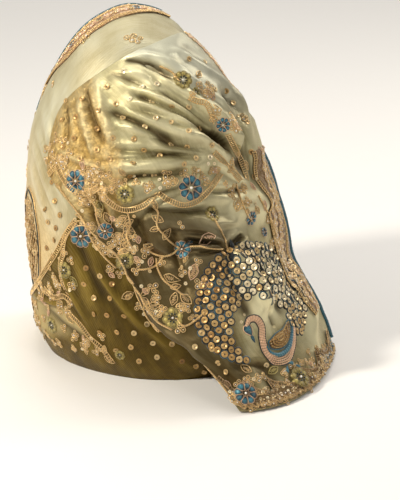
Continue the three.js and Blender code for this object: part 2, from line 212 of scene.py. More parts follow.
def toPixel(p):
    q = p - aimPoint
    near = view["distance"] / (view["distance"] - q @ backWay) / view["mmPerPixel"]
    return view["width"] / 2 + (q @ rightWay) * near, view["height"] / 2 - (q @ upWay) * near


def rayThrough(u, v):
    across = (u - view["width"] / 2) * view["mmPerPixel"]
    rise = (view["height"] / 2 - v) * view["mmPerPixel"]
    return unit(aimPoint + across * rightWay + rise * upWay - cameraPoint)


def gridNormals(grid):
    return unit(np.cross(np.gradient(grid, axis=0), np.gradient(grid, axis=1)))


def addMesh(name, points, faces, material, values=None, uv=None):
    mesh = bpy.data.meshes.new(name)
    placed = (np.asarray(points, float) + frameShift) * metre
    placed[:, 2] = np.maximum(placed[:, 2], 0)
    mesh.vertices.add(len(placed))
    mesh.vertices.foreach_set("co", placed.astype(np.float32).ravel())
    faces = np.asarray(faces)
    sizes = np.where(faces[:, 3] < 0, 3, 4)
    loops = faces.ravel()[(faces >= 0).ravel()]
    mesh.loops.add(len(loops))
    mesh.loops.foreach_set("vertex_index", loops.astype(np.int32))
    mesh.polygons.add(len(faces))
    mesh.polygons.foreach_set("loop_start", np.concatenate([[0], np.cumsum(sizes)[:-1]]).astype(np.int32))
    mesh.polygons.foreach_set("use_smooth", np.ones(len(faces), bool))
    mesh.update(calc_edges=True)
    for key, value in (values or {}).items():
        layer = mesh.attributes.new(key, "FLOAT", "POINT").data
        layer.foreach_set("value", np.asarray(value, np.float32).ravel())
    if uv is not None:
        mesh.uv_layers.new(name="UVMap").data.foreach_set("uv", uv[loops].astype(np.float32).ravel())
    mesh.materials.append(material)
    made = bpy.data.objects.new(name, mesh)
    bpy.context.scene.collection.objects.link(made)
    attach(made, "root")
    return made


def gridFaces(rows, columns, start=0, flip=False):
    i, j = np.meshgrid(np.arange(rows - 1), np.arange(columns - 1), indexing="ij")
    a = (start + i * columns + j).ravel()
    quads = np.stack([a, a + columns, a + columns + 1, a + 1], 1)
    return quads[:, ::-1] if flip else quads


# A closed thin cloth from the points of its outer face.
def shell(name, outer, thickness, material, values):
    rows, columns = outer.shape[:2]
    count = rows * columns
    inner = outer - gridNormals(outer) * thickness
    inner[..., 2] = np.maximum(inner[..., 2], 0.0)
    outer[..., 2] = np.maximum(outer[..., 2], 0.0)
    faces = [gridFaces(rows, columns), gridFaces(rows, columns, count, True)]
    index = np.arange(count).reshape(rows, columns)
    rim = np.concatenate([index[0, :-1], index[:-1, -1], index[-1, :0:-1], index[:0:-1, 0]])
    after = np.roll(rim, -1)
    faces.append(np.stack([rim, after, after + count, rim + count], 1))
    downRun = np.cumsum(np.linalg.norm(np.diff(outer, axis=0, prepend=outer[:1]), axis=2).mean(1))
    acrossRun = np.cumsum(np.linalg.norm(np.diff(outer, axis=1, prepend=outer[:, :1]), axis=2).mean(0))
    uv = np.stack(np.meshgrid(acrossRun, downRun), -1).reshape(-1, 2) / 100  # one UV unit is 100 mm of cloth
    points = np.vstack([outer.reshape(-1, 3), inner.reshape(-1, 3)])
    both = {key: np.tile(np.asarray(value).ravel(), 2) for key, value in values.items()}
    return addMesh(name, points, np.vstack(faces), material, both, np.vstack([uv, uv]))


# Gathers many small grids and shapes into one joined mesh.
class Bag:
    def __init__(self):
        self.points, self.faces, self.tints, self.count = [], [], [], 0

    def add(self, points, faces, tint):
        points = np.asarray(points, float).reshape(-1, 3)
        self.points.append(points)
        self.faces.append(np.where(faces < 0, -1, faces + self.count))
        self.tints.append(np.broadcast_to(np.asarray(tint, float).ravel(), (len(points),)))
        self.count += len(points)

    def build(self, name, material, slot):
        made = addMesh(name, np.vstack(self.points), np.vstack(self.faces), material,
                       {"tint": np.concatenate(self.tints)})
        print(f"{name}: {len(made.data.polygons)} faces")
        return made


# A material, with short ways to add to its node tree.
class Finish:
    def __init__(self, name, **sockets):
        self.material = bpy.data.materials.new(name)
        self.material.use_nodes = True
        self.tree = self.material.node_tree
        self.shader = self.tree.nodes["Principled BSDF"]
        for key, value in sockets.items():
            self.shader.inputs[key.replace("_", " ")].default_value = value

    def give(self, place, value):
        if isinstance(value, bpy.types.NodeSocket):
            self.tree.links.new(value, place)
        else:
            place.default_value = value

    def node(self, kind, **sockets):
        made = self.tree.nodes.new(kind)
        for key, value in sockets.items():
            self.give(made.inputs[key.replace("_", " ")], value)
        return made

    def maths(self, kind, first, second):
        made = self.tree.nodes.new("ShaderNodeMath")
        made.operation = kind
        self.give(made.inputs[0], first)
        self.give(made.inputs[1], second)
        return made.outputs[0]

    def plus(self, first, second):
        return self.maths("ADD", first, second)

    def times(self, first, second):
        return self.maths("MULTIPLY", first, second)

    def less(self, first, second):
        return self.maths("SUBTRACT", first, second)

    def blend(self, factor, first, second):
        made = self.tree.nodes.new("ShaderNodeMix")
        made.data_type = "RGBA"
        for place, value in ((0, factor), (6, first), (7, second)):
            self.give(made.inputs[place], value)
        return made.outputs[2]

    def ramp(self, factor, *stops):
        made = self.node("ShaderNodeValToRGB", Fac=factor)
        elements = made.color_ramp.elements
        for i, (position, colour) in ((0, stops[0]), (1, stops[-1])):
            elements[i].position, elements[i].color = position, colour
        for position, colour in stops[1:-1]:
            elements.new(position).color = colour
        return made.outputs[0]

    def noise(self, vector, scale, **sockets):
        return self.node("ShaderNodeTexNoise", Vector=vector, Scale=scale, **sockets).outputs[0]

    def mapping(self, vector, **sockets):
        return self.node("ShaderNodeMapping", Vector=vector, **sockets).outputs[0]

    def ownPlace(self):
        return self.node("ShaderNodeTexCoord").outputs["Object"]

    def attribute(self, key):
        made = self.node("ShaderNodeAttribute")
        made.attribute_name = key
        return made.outputs["Fac"]

    def feed(self, socket, value):
        self.tree.links.new(value, self.shader.inputs[socket])

    def raised(self, height, distance, strength):
        self.feed("Normal", self.node("ShaderNodeBump", Height=height, Distance=distance,
                                      Strength=strength).outputs[0])
silkLook = dict(  # colours, then how much rib shows and how the ribs and the weave are turned, in degrees
    champagne=dict(
        shade=paint(56, 38, 4), body=paint(156, 148, 106), highlightTone=paint(230, 222, 182),
        pale=paint(190, 190, 172), gold=paint(198, 160, 88), tissueAndLitGold=paint(126, 98, 44),
        metallic=0.42, roughness=0.36, rib=0.12, ribTurn=8, ribScale=14, weaveTurn=0),
    pale=dict(
        shade=paint(156, 144, 108), body=paint(190, 184, 154), highlightTone=paint(204, 202, 182),
        pale=paint(200, 200, 184), gold=paint(236, 204, 144), tissueAndLitGold=paint(206, 172, 110),
        metallic=0.2, roughness=0.4, rib=0.5, ribTurn=8, ribScale=14, weaveTurn=0),
    # olive is the same silk drawn darker and warmer: painted shade for the lower body, which lies under the
    # flap away from the light; its stronger turned ribs are the cloth's own.
    olive=dict(
        shade=paint(40, 28, 2), body=paint(86, 68, 14), highlightTone=paint(150, 126, 54),
        pale=paint(188, 170, 120), gold=paint(120, 92, 20), tissueAndLitGold=paint(60, 44, 6),
        metallic=0.3, roughness=0.44, rib=1.0, ribTurn=48, ribScale=20, weaveTurn=42),
)
# goldShare, crestShare and valleyShare set how strongly the flecked gold, the painted highlight on crests and
# the painted shade in troughs show.
satin = dict(sheen=0.04, sheenRoughness=0.4, anisotropy=0.5, tint=paint(250, 232, 196), relief=0.0006,
             goldShare=0.85, crestShare=0.8, valleyShare=0.86, crinkle=5)


# Satin silk: faint warp streaks, ribs and slubs, painted highlight on crests, painted shade in troughs,
# flecked gold where set.
def silk(name, look):
    made = Finish(name, Metallic=look["metallic"], Anisotropic=satin["anisotropy"],
                  Sheen_Weight=satin["sheen"], Sheen_Roughness=satin["sheenRoughness"],
                  Specular_Tint=satin["tint"])
    plus, times = made.plus, made.times
    cloth = made.node("ShaderNodeUVMap").outputs[0]
    weaveMap = made.mapping(cloth, Rotation=(0, 0, radians(look["weaveTurn"])))
    ribMap = made.mapping(cloth, Rotation=(0, 0, radians(look["ribTurn"])))

    def stretched(along, across):
        return made.noise(made.mapping(weaveMap, Scale=(across, along, 1)), 1, Detail=3, Roughness=0.6)

    streaks = stretched(3, 110)  # warp threads running down the cloth
    slubs, clouds = stretched(70, 4), stretched(2.2, 5)
    ribs = made.node("ShaderNodeTexWave", Vector=ribMap, Scale=look["ribScale"], Distortion=1.6, Detail=2,
                     Detail_Scale=1.4).outputs[1]
    weave = made.node("ShaderNodeTexWave", Vector=cloth, Scale=95, Distortion=0.4).outputs[1]
    tone = plus(times(streaks, 0.22), plus(times(slubs, 0.1), times(clouds, 0.68)))
    gold = made.attribute("gold")
    fleck = made.noise(cloth, 30, Detail=6, Roughness=0.75)
    flecked = made.ramp(fleck, (0.36, look["tissueAndLitGold"]), (0.62, look["gold"]))
    colour = made.ramp(tone, (0.3, look["shade"]), (0.5, look["body"]), (0.74, look["highlightTone"]))
    colour = made.blend(times(gold, satin["goldShare"]), colour, flecked)
    # The crest attribute lays a painted highlight; the valley attribute two lines down lays painted shade.
    colour = made.blend(times(made.attribute("crest"), satin["crestShare"]), colour, look["highlightTone"])
    colour = made.blend(made.attribute("pale"), colour, look["pale"])
    colour = made.blend(times(made.attribute("valley"), satin["valleyShare"]), colour, look["shade"])
    made.feed("Base Color", colour)
    crinkle = made.noise(cloth, 13, Detail=6, Roughness=0.62, Distortion=0.8)
    relief = plus(times(ribs, 0.5 * look["rib"]), plus(times(streaks, 0.25), times(weave, 0.1)))
    relief = plus(relief, times(crinkle, times(gold, satin["crinkle"])))
    made.raised(relief, satin["relief"], 0.6)
    made.feed("Roughness", plus(times(slubs, 0.16), look["roughness"] - 0.08))
    return made.material


threadLook = dict(
    copper=dict(dark=paint(84, 48, 14), light=paint(252, 214, 146), metallic=0.55, roughness=0.3),
    teal=dict(dark=paint(0, 22, 38), light=paint(70, 142, 160), metallic=0.15, roughness=0.34),
    olive=dict(dark=paint(62, 50, 12), light=paint(198, 178, 98), metallic=0.25, roughness=0.4),
    blush=dict(dark=paint(130, 80, 50), light=paint(250, 208, 168), metallic=0.3, roughness=0.38),
    night=dict(dark=paint(10, 12, 8), light=paint(22, 46, 50), metallic=0.0, roughness=0.7),
)


# Embroidery thread: lies in fine parallel strands, darker between them.
def thread(name, look):
    made = Finish(name, Metallic=look["metallic"], Sheen_Weight=0.3)
    strands = made.noise(made.ownPlace(), 900, Detail=3, Roughness=0.7)
    tone = made.plus(made.times(made.attribute("tint"), 0.75), made.times(made.less(strands, 0.4), 0.9))
    made.feed("Base Color", made.blend(tone, look["dark"], look["light"]))
    made.raised(strands, 0.0004, 0.7)
    made.feed("Roughness", made.plus(made.times(strands, 0.2), look["roughness"] - 0.1))
    return made.material


sequinLook = dict(metallic=0.5, worn=paint(132, 98, 56), tones=[
    (0.0, paint(138, 98, 54)), (0.35, paint(196, 158, 98)), (0.72, paint(226, 202, 152)),
    (1.0, paint(255, 242, 206))])


def sequinMetal():
    made = Finish("sequin_metal", Metallic=sequinLook["metallic"])
    wear = made.noise(made.ownPlace(), 420, Detail=4, Roughness=0.6)
    shine = made.ramp(made.attribute("tint"), *sequinLook["tones"])
    made.feed("Base Color", made.blend(made.times(wear, 0.4), shine, sequinLook["worn"]))
    made.feed("Roughness", made.plus(made.times(wear, 0.3), 0.2))
    made.raised(wear, 0.0002, 0.3)
    return made.material


def pearlShine():
    made = Finish("pearl", Roughness=0.18, Coat_Weight=0.5)
    cloud = made.noise(made.ownPlace(), 700)
    made.feed("Base Color", made.blend(cloud, paint(214, 204, 190), paint(252, 248, 240)))
    return made.material


silks = {name: silk("silk_" + name, look) for name, look in silkLook.items()}
threads = {name: thread(name + "_thread", look) for name, look in threadLook.items()}
metal, pearl = sequinMetal(), pearlShine()
print("finishes ready")

# Main folds as in the solids, in the front view: from (x0, z0) by (x1, z1) to (x2, z2), millimetres.
folds = [
    (-38, 228, 6, 214, 46, 160, 7, 8), (-20, 246, 20, 216, 48, 160, 8, 7),
    (8, 240, 44, 196, 58, 142, 6, 8), (-60, 176, -20, 168, 34, 172, 5, 9),
    (-52, 202, -20, 200, 24, 186, 4, 8), (-50, 150, -4, 146, 46, 150, 4, 10),
    (-34, 128, 6, 132, 36, 112, 6, 10), (36, 131, 54, 133, 72, 120, 5, 8),
    (-8, 92, 16, 100, 38, 110, 6, 8), (38, 106, 56, 82, 74, 58, 6, 9), (86, 74, 96, 50, 110, 22, 4, 7),
    (-28, 70, -6, 56, 20, 20, 3, 8),
]


# Distance from points (a, b) to a polyline, its side and how far along it they are.
def nearLine(a, b, line):
    nearest, side, along = np.full(a.shape, 1e9), np.zeros(a.shape), np.zeros(a.shape)
    for i in range(len(line) - 1):
        (x0, y0), (x1, y1) = line[i], line[i + 1]
        dx, dy = x1 - x0, y1 - y0
        k = np.clip(((a - x0) * dx + (b - y0) * dy) / (dx * dx + dy * dy), 0, 1)
        gap = np.hypot(a - x0 - k * dx, b - y0 - k * dy)
        closer = gap < nearest
        nearest = np.where(closer, gap, nearest)
        side = np.where(closer, np.sign((a - x0) * dy - (b - y0) * dx), side)
        along = np.where(closer, (i + k) / (len(line) - 1), along)
    return nearest, side, along


# 1 on the left of a line seen going up the frame, 0 on its right, softly between.
def leftOf(a, b, line, soft):
    gap, side, _ = nearLine(a, b, line)
    return ease(0.5 + 0.5 * side * np.clip(gap / soft, 0, 1))


def bend(x0, y0, x1, y1, x2, y2, steps=10):
    k = np.linspace(0, 1, steps + 1)[:, None]
    first, middle, last = np.array([x0, y0]), np.array([x1, y1]), np.array([x2, y2])
    return first * (1 - k) ** 2 + middle * 2 * k * (1 - k) + last * k ** 2


def foldLift(x, z):
    lift = np.zeros(x.shape)
    for x0, z0, x1, z1, x2, z2, height, width in folds:
        gap, _, along = nearLine(x, z, bend(x0, z0, x1, z1, x2, z2))
        lift += height * ease(along / 0.3) * ease((1 - along) / 0.18) * np.exp(-(gap / width) ** 2)
    return lift


creaseShape = dict(narrow=0.85, sharpness=1.5, shoulder=0.28, depth=1.25)


# Soft ridges and troughs: pixels for the line and width, millimetres for the depth.
def creaseLift(u, v, creases):
    lift = np.zeros(u.shape)
    for u0, v0, u1, v1, u2, v2, depth, width, steep in creases:
        gap, side, along = nearLine(u, v, bend(u0, v0, u1, v1, u2, v2, 14))
        wide = width * creaseShape["narrow"] * np.where(side > 0, 1.0, steep)
        profile = np.exp(-(gap / wide) ** creaseShape["sharpness"])
        profile -= creaseShape["shoulder"] * np.exp(-((gap - 2.2 * wide) / (1.1 * wide)) ** 2)
        lift += depth * creaseShape["depth"] * ease(along / 0.22) * ease((1 - along) / 0.25) * profile
    return lift


# Column and row they run to, first and last bearing in degrees, reach, turn a pixel, depth, pleats.
gathers = [
    (248, 192, 92, 176, 175, 0.26, 3.4, 15), (229, 251, 148, 212, 66, 0.1, 2.2, 8),
    (226, 252, 226, 292, 110, 0.06, 1.6, 9), (256, 316, 64, 118, 150, -0.05, 1.4, 9),
]


# Pleats with sharp troughs and round crests, running to a few points of the drape.
def gatherLift(u, v):
    lift = np.zeros(u.shape)
    for column, row, first, last, reach, turn, depth, pleats in gathers:
        away = np.hypot(u - column, row - v)
        bearing = np.degrees(np.arctan2(row - v, u - column)) % 360 - turn * away
        wander = rough(np.stack([bearing, 0.25 * away, 0 * away], -1), 16, 2, column)
        pleat = np.abs(np.sin(np.radians(bearing) * pleats + 1.6 * wander)) ** 0.7 - 0.66
        strength = ease(0.5 + 1.1 * rough(np.stack([bearing, 0.5 * away, 0 * away], -1), 34, 2, row))
        window = ease((bearing - first) / 14) * ease((last - bearing) / 14)
        lift += depth * pleat * strength * window * ease((away - 5) / 12) * ease((reach - away) / 60)
    return lift


def withLift(grid, lift):
    return grid + gridNormals(grid) * lift[..., None]


# Where the cloth stands proud or sinks: the masks of a painted highlight on crests and painted shade in
# troughs.
def standing(lift, crest=6.0, valley=3.0):
    return {"crest": np.clip(lift / crest, 0, 1), "valley": np.clip(-lift / valley, 0, 1)}


# The outer wrap, from the left foot over the ridge to the right foot, and the turns of its two edges.
outerWrap = dict(rows=200, columns=72, outerFace=1.0, thickness=0.8,
                 along=[0, 0.15, 0.3, 0.42, 0.6, 0.8, 1],
                 front=[20, 24, 28, 36, 50, 56, 50], back=[126, 122, 114, 104, 103, 105, 112],
                 wrinkle=0.35, wrinkleSize=16, ribDepth=0.5, ribs=26, ribSlant=5, ribsEnd=0.36,
                 gold=0.85, goldEnd=0.34)


# A value at a place between stations, eased from each to the next.
def atStation(stations, values, at):
    i = np.clip(np.searchsorted(stations, at), 1, len(stations) - 1)
    stations, values = np.asarray(stations), np.asarray(values, float)
    a, b = stations[i - 1], stations[i]
    return mix(values[i - 1], values[i], ease((at - a) / (b - a)))


def wrapTurn(along, edge):
    return atStation(outerWrap["along"], outerWrap[edge], along)


def wrapGrid(rows, columns, lift):
    along, across = np.meshgrid(np.linspace(0, 1, rows), np.linspace(0, 1, columns), indexing="ij")
    turn = mix(wrapTurn(along, "front"), wrapTurn(along, "back"), across)
    grid = overRidge(along, turn)
    return grid, movedOut(grid, np.full(along.shape, lift)), along, across


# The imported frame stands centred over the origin, so the wrap's own box says how far it was moved.
wrapLow, wrapHigh = (np.array(c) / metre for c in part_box("outer_wrap"))
_, plainWrap, _, _ = wrapGrid(49, 13, 1.0)
frameShift = np.array([wrapLow[0] - plainWrap[..., 0].min(), wrapHigh[1] - plainWrap[..., 1].max(), 0])
print("frame moved by", frameShift.round(2))

wrapCreases = [
    (36, 124, 44, 165, 72, 214, 1.4, 3.0, 0.6), (33, 140, 38, 178, 62, 222, 1.2, 2.6, 0.6),
    (31, 160, 36, 200, 56, 236, 1.3, 3.0, 0.7), (44, 100, 46, 140, 58, 180, 1.0, 3.4, 1.0),
    (170, 24, 192, 48, 214, 84, 1.2, 4.0, 1.0), (120, 44, 150, 40, 178, 52, 0.8, 5.0, 1.0),
    (58, 78, 50, 110, 47, 150, 0.7, 3.0, 1.0),
]


def makeWrap():
    _, grid, along, across = wrapGrid(outerWrap["rows"], outerWrap["columns"], outerWrap["outerFace"])
    u, v = toPixel(grid)
    seen = ease((110 - 100 * across) / 30)
    lift = creaseLift(u, v, wrapCreases) * seen
    lift += outerWrap["wrinkle"] * rough(grid * np.array([1, 1, 0.4]), outerWrap["wrinkleSize"], 3, 4.0)
    turn = outerWrap["ribs"] * across + outerWrap["ribSlant"] * along + 1.3 * rough(grid, 40, 2, 9.0)
    lift += (outerWrap["ribDepth"] * np.abs(np.sin(turn)) * ease((outerWrap["ribsEnd"] - along) / 0.2)
             * ease(across / 0.2))
    grid = withLift(grid, lift)
    gold = (outerWrap["gold"] * ease((outerWrap["goldEnd"] - along) / 0.2) * ease((along + 0.04) / 0.16)
            * ease((1.1 - across) / 0.5))
    made = shell("outer_wrap_cloth", grid, outerWrap["thickness"], silks["pale"],
                 {"gold": gold, **standing(lift - 0.5, 2.5, 2.0)})
    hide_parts("outer_wrap")
    return made, grid


# The lower body round the foot of the mound: bearings in degrees and the height of its top edge there.
lowerBody = dict(rows=84, columns=180, outerFace=4.3, thickness=0.8, wrinkle=0.45, wrinkleSize=22,
                 pale=0.85, paleEnd=342, tissueAndLitGold=0.3,
                 round=[113, 100, 86, 68, 53, 42, 30, 18, 6, -8, -22, -38],
                 top=[35, 38, 43, 66, 97, 128, 124, 100, 72, 52, 42, 34])
paleStrip = [(20, 288), (48, 306), (66, 308), (78, 322), (96, 344), (124, 376)]  # paler cloth lies below it
bodyCreases = [
    (31, 292, 46, 303, 64, 306, 1.8, 3.2, 0.6), (60, 262, 66, 292, 92, 330, 1.6, 3.2, 0.6),
    (76, 232, 84, 270, 112, 312, -1.6, 5.0, 1.0), (92, 262, 112, 300, 150, 340, 1.4, 4.0, 0.7),
    (40, 300, 60, 325, 92, 345, -1.4, 4.0, 1.0), (120, 300, 146, 332, 176, 352, 1.2, 5.0, 0.8),
    (34, 310, 44, 330, 60, 342, 1.4, 4.0, 0.8),
]


def makeBody():
    down, across = np.meshgrid(np.linspace(0, 1, lowerBody["rows"]), np.linspace(0, 1, lowerBody["columns"]),
                               indexing="ij")
    z = between(lowerBody["top"], across) * (1 - down)
    foot = roundAbout(between(lowerBody["round"], across), z)
    grid = movedOut(foot, np.full(z.shape, lowerBody["outerFace"]))
    u, v = toPixel(grid)
    lift = creaseLift(u, v, bodyCreases) * ease((1 - down) / 0.12)
    lift += lowerBody["wrinkle"] * rough(grid, lowerBody["wrinkleSize"], 3, 2.0) * ease((1 - down) / 0.1)
    grid = withLift(grid, lift)
    look = standing(lift, 3.0, 2.0)
    below = ease((lowerBody["paleEnd"] - v) / 18)
    look["pale"] = lowerBody["pale"] * leftOf(u, v, paleStrip[::-1], 4) * below
    look["gold"] = lowerBody["tissueAndLitGold"] * ease(0.5 + rough(grid, 30, 2, 7.0))
    # The olive silk paints the lower body's shade.
    made = shell("lower_body_cloth", grid, lowerBody["thickness"], silks["olive"], look)
    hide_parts("lower_body")
    return made, grid


# The pallu, gathered across the front and falling to the floor.
pallu = dict(rows=230, columns=190, outerFace=1.0, thickness=0.8, foldsEnd=0.93, hemCentre=1.0,
             topEdge=0.07, topFlush=2.0, hemClear=0.15, crinkle=0.9, crinkleSize=8, wrinkle=0.35,
             wrinkleSize=11, tissueAndLitGold=0.3, foldedOver=0.9)
# Rows from the top: left edge, two places between and right edge (x, z); lift off the mound, the right
# edge's turn over the ridge, share that hangs free, and depths of the places where it does.
palluSections = [
    dict(places=[(-98, 157), (-80, 212), (-39, 243), (9, 242)], lift=3.6, over=102, free=0),
    dict(places=[(-92, 152), (-59, 196), (-16, 225), (28, 208)], lift=4.8, over=104, free=0),
    dict(places=[(-83, 143), (-43, 172), (2, 192), (44, 179)], lift=6, over=100, free=0),
    dict(places=[(-73, 133), (-35, 148), (14, 165), (58, 155)], lift=6.4, over=95, free=0),
    dict(places=[(-62, 118), (-24, 124), (20, 137), (67, 127)], lift=6.6, over=93, free=0),
    dict(places=[(-48, 106), (-9, 105), (34, 113), (80, 101)], lift=6.8, over=91, free=0.15,
         y=(-97, -102, -86, 2)),
    dict(places=[(-34, 84), (6, 82), (49, 90), (87, 72)], lift=7, over=90, free=0.7,
         y=(-101, -109, -92, 3)),
    dict(places=[(-19, 55), (21, 59), (64, 65), (99, 49)], lift=7, over=90, free=1,
         y=(-106, -121, -96, 2)),
    dict(places=[(10, 44), (38, 34), (80, 34), (111, 28)], lift=7, over=90, free=1,
         y=(-124, -133, -100, -4)),
    dict(places=[(47, 1), (85, 1), (111, 1), (122, 1)], lift=7, over=90, free=1,
         y=(-151, -132, -85, -17)),
]


def unrolled(place, turn=None):
    bearing, share = placeInView(np.array(float(place[0])), np.array(float(place[1])))
    if turn is None:
        turn = np.degrees(np.arcsin(np.minimum(1, share) ** (squareness(bearing, True) / 2)))
    return turn * np.cos(bearing), turn * np.sin(bearing)


def palluDrape(down, across):
    laid = np.array([[unrolled(p, row["over"] if c == 3 else None) for c, p in enumerate(row["places"])]
                     for row in palluSections])
    a, b = (throughFour([between(laid[:, c, axis], down) for c in range(4)], across) for axis in (0, 1))
    lift = between([row["lift"] for row in palluSections], down)
    point = movedOut(overRidgeAt(np.arctan2(b, a), np.hypot(a, b)), lift)
    free = ease(between([row["free"] for row in palluSections], down))

    def acrossRows(value):
        columns = [[value(row, c) for row in palluSections] for c in range(4)]
        return throughFour([between(column, down) for column in columns], across)

    x, z = (acrossRows(lambda row, c: row["places"][c][axis]) for axis in (0, 1))
    ownY = [np.where(free > 0, between([row.get("y", (0, 0, 0, 0))[c] for row in palluSections], down), 0)
            for c in range(4)]
    # Rows that are still wholly on the mound have no depths of their own.
    firstFree = [i for i, row in enumerate(palluSections) if "y" in row][0]
    onMound, offMound = ((firstFree - k) / (len(palluSections) - 1) for k in (1, 0))
    y = mix(point[..., 1], throughFour(ownY, across), ease((down - onMound) / (offMound - onMound)))
    hung = np.stack([x, y, np.maximum(pallu["hemCentre"], z)], -1)
    return mix(point, hung, free[..., None])


palluCreases = [  # three pixels of its line, depth, half width in pixels, how much wider its lower side is
    (148, 86, 190, 106, 246, 178, -5.4, 3.4, 1.6), (143, 60, 176, 78, 206, 114, -4.2, 3.2, 1.5),
    (163, 121, 200, 132, 230, 153, -3.6, 3.0, 1.4), (98, 108, 140, 120, 192, 150, -2.6, 4.2, 1.4),
    (212, 86, 232, 132, 246, 186, -6.2, 4.4, 1.3), (168, 46, 204, 66, 246, 132, 3.2, 4.4, 0.8),
    (238, 108, 256, 150, 262, 204, 3.0, 4.6, 0.8), (224, 112, 243, 146, 252, 184, -3.4, 2.8, 1.2),
    (180, 238, 206, 243, 228, 251, -4.8, 2.8, 1.4), (194, 257, 212, 255, 228, 251, -3.6, 2.6, 1.2),
    (244, 233, 236, 242, 227, 251, -4.0, 2.8, 1.2), (186, 247, 206, 249, 224, 251, 2.6, 2.4, 1.0),
    (92, 60, 100, 108, 120, 160, 1.6, 6.4, 0.9), (76, 92, 84, 128, 96, 164, 1.6, 4.0, 0.8),
    (120, 116, 146, 124, 180, 150, -2.4, 3.2, 1.4), (58, 148, 82, 166, 112, 170, 1.6, 4.0, 0.8),
    (104, 70, 136, 78, 168, 104, -1.8, 2.6, 1.5), (128, 92, 178, 108, 236, 162, -5.0, 2.6, 1.7),
    (140, 70, 178, 92, 228, 146, -3.6, 2.4, 1.6), (110, 150, 150, 150, 204, 162, -1.8, 3.0, 1.4),
    (100, 244, 128, 278, 166, 330, 3.0, 4.8, 0.6), (132, 214, 152, 250, 166, 292, -3.0, 4.6, 1.2),
    (106, 214, 142, 236, 180, 262, 2.0, 4.6, 0.8), (168, 214, 176, 256, 190, 300, -2.6, 4.2, 1.2),
    (226, 246, 246, 274, 268, 318, 4.6, 5.0, 0.6), (222, 262, 238, 292, 254, 322, -2.6, 5.0, 1.3),
    (252, 262, 272, 292, 286, 322, -2.2, 5.0, 1.3), (262, 304, 270, 316, 276, 330, -2.0, 3.0, 1.2),
    (200, 338, 222, 366, 240, 402, -2.6, 4.8, 1.2), (188, 346, 206, 372, 226, 398, 2.2, 4.2, 0.8),
    (300, 296, 312, 330, 318, 372, 2.4, 5.0, 0.8), (262, 362, 274, 384, 284, 402, -2.0, 4.6, 1.2),
    (246, 360, 258, 384, 266, 402, 1.8, 4.4, 0.8), (204, 190, 226, 196, 246, 186, -2.8, 3.2, 1.2),
    (196, 216, 216, 226, 240, 222, 2.0, 4.2, 0.9), (150, 62, 190, 92, 218, 138, 2.4, 3.0, 0.8),
    (120, 72, 150, 74, 176, 92, 1.8, 3.6, 0.9), (126, 100, 160, 108, 196, 132, 2.2, 3.2, 0.8),
    (64, 96, 70, 120, 66, 150, -2.0, 3.0, 1.2), (84, 80, 90, 116, 108, 150, -2.4, 2.8, 1.2),
    (70, 178, 92, 200, 104, 236, -2.4, 3.4, 1.2), (88, 186, 112, 216, 120, 252, -2.2, 3.2, 1.3),
    (118, 176, 150, 178, 190, 168, -2.0, 3.6, 1.3), (140, 206, 176, 216, 214, 206, -2.4, 3.4, 1.3),
    (150, 232, 182, 228, 216, 236, -2.0, 3.0, 1.3), (176, 62, 196, 82, 212, 106, -1.8, 2.2, 1.2),
    (272, 214, 284, 256, 292, 300, -1.8, 3.6, 1.2), (212, 162, 232, 176, 246, 184, 2.2, 2.4, 1.0),
    (224, 364, 250, 368, 284, 362, -1.6, 3.4, 1.3), (186, 300, 200, 330, 224, 352, -1.8, 4.0, 1.2),
    (118, 60, 152, 56, 180, 88, -3.0, 2.4, 1.6), (126, 52, 158, 50, 186, 80, 2.2, 2.8, 0.8),
    (186, 84, 204, 100, 222, 128, -2.6, 2.2, 1.6), (200, 72, 222, 96, 240, 136, -2.2, 2.0, 1.4),
]
shadedSilk = [  # places where the satin lies away from the light: column, row, reach across and down, depth
    (162, 226, 46, 34, 0.75), (176, 148, 30, 14, 0.45), (226, 118, 14, 40, 0.55),
    (150, 290, 40, 40, 0.5), (226, 372, 40, 26, 0.7), (250, 108, 8, 20, 0.3), (120, 196, 34, 16, 0.25),
    (286, 372, 30, 22, 0.5),
]
litSilk = [
    (240, 206, 26, 30, 1.0), (196, 70, 34, 26, 0.2), (160, 72, 30, 16, 0.6), (262, 312, 22, 18, 1.0),
    (276, 276, 26, 34, 0.7), (232, 170, 16, 14, 0.5), (226, 230, 22, 10, 0.5), (296, 270, 12, 40, 0.6),
    (310, 330, 16, 40, 0.6), (150, 136, 34, 10, 0.3), (318, 330, 10, 24, 0.4), (70, 196, 12, 20, 0.3),
    (182, 206, 26, 4, 0.8),
]
warmLitEdge = [  # painted warm light on its left: that side of the pallu faces the warm lamp and is drawn flecked gold, with a real crinkle in its relief
    (84, 46), (93, 72), (102, 104), (116, 140), (126, 172), (124, 200), (112, 240), (100, 262),
]
foldOver = [
    (60, 120), (76, 84), (92, 68), (110, 58), (130, 55), (150, 60), (165, 70), (176, 82), (196, 104),
    (214, 128),
]


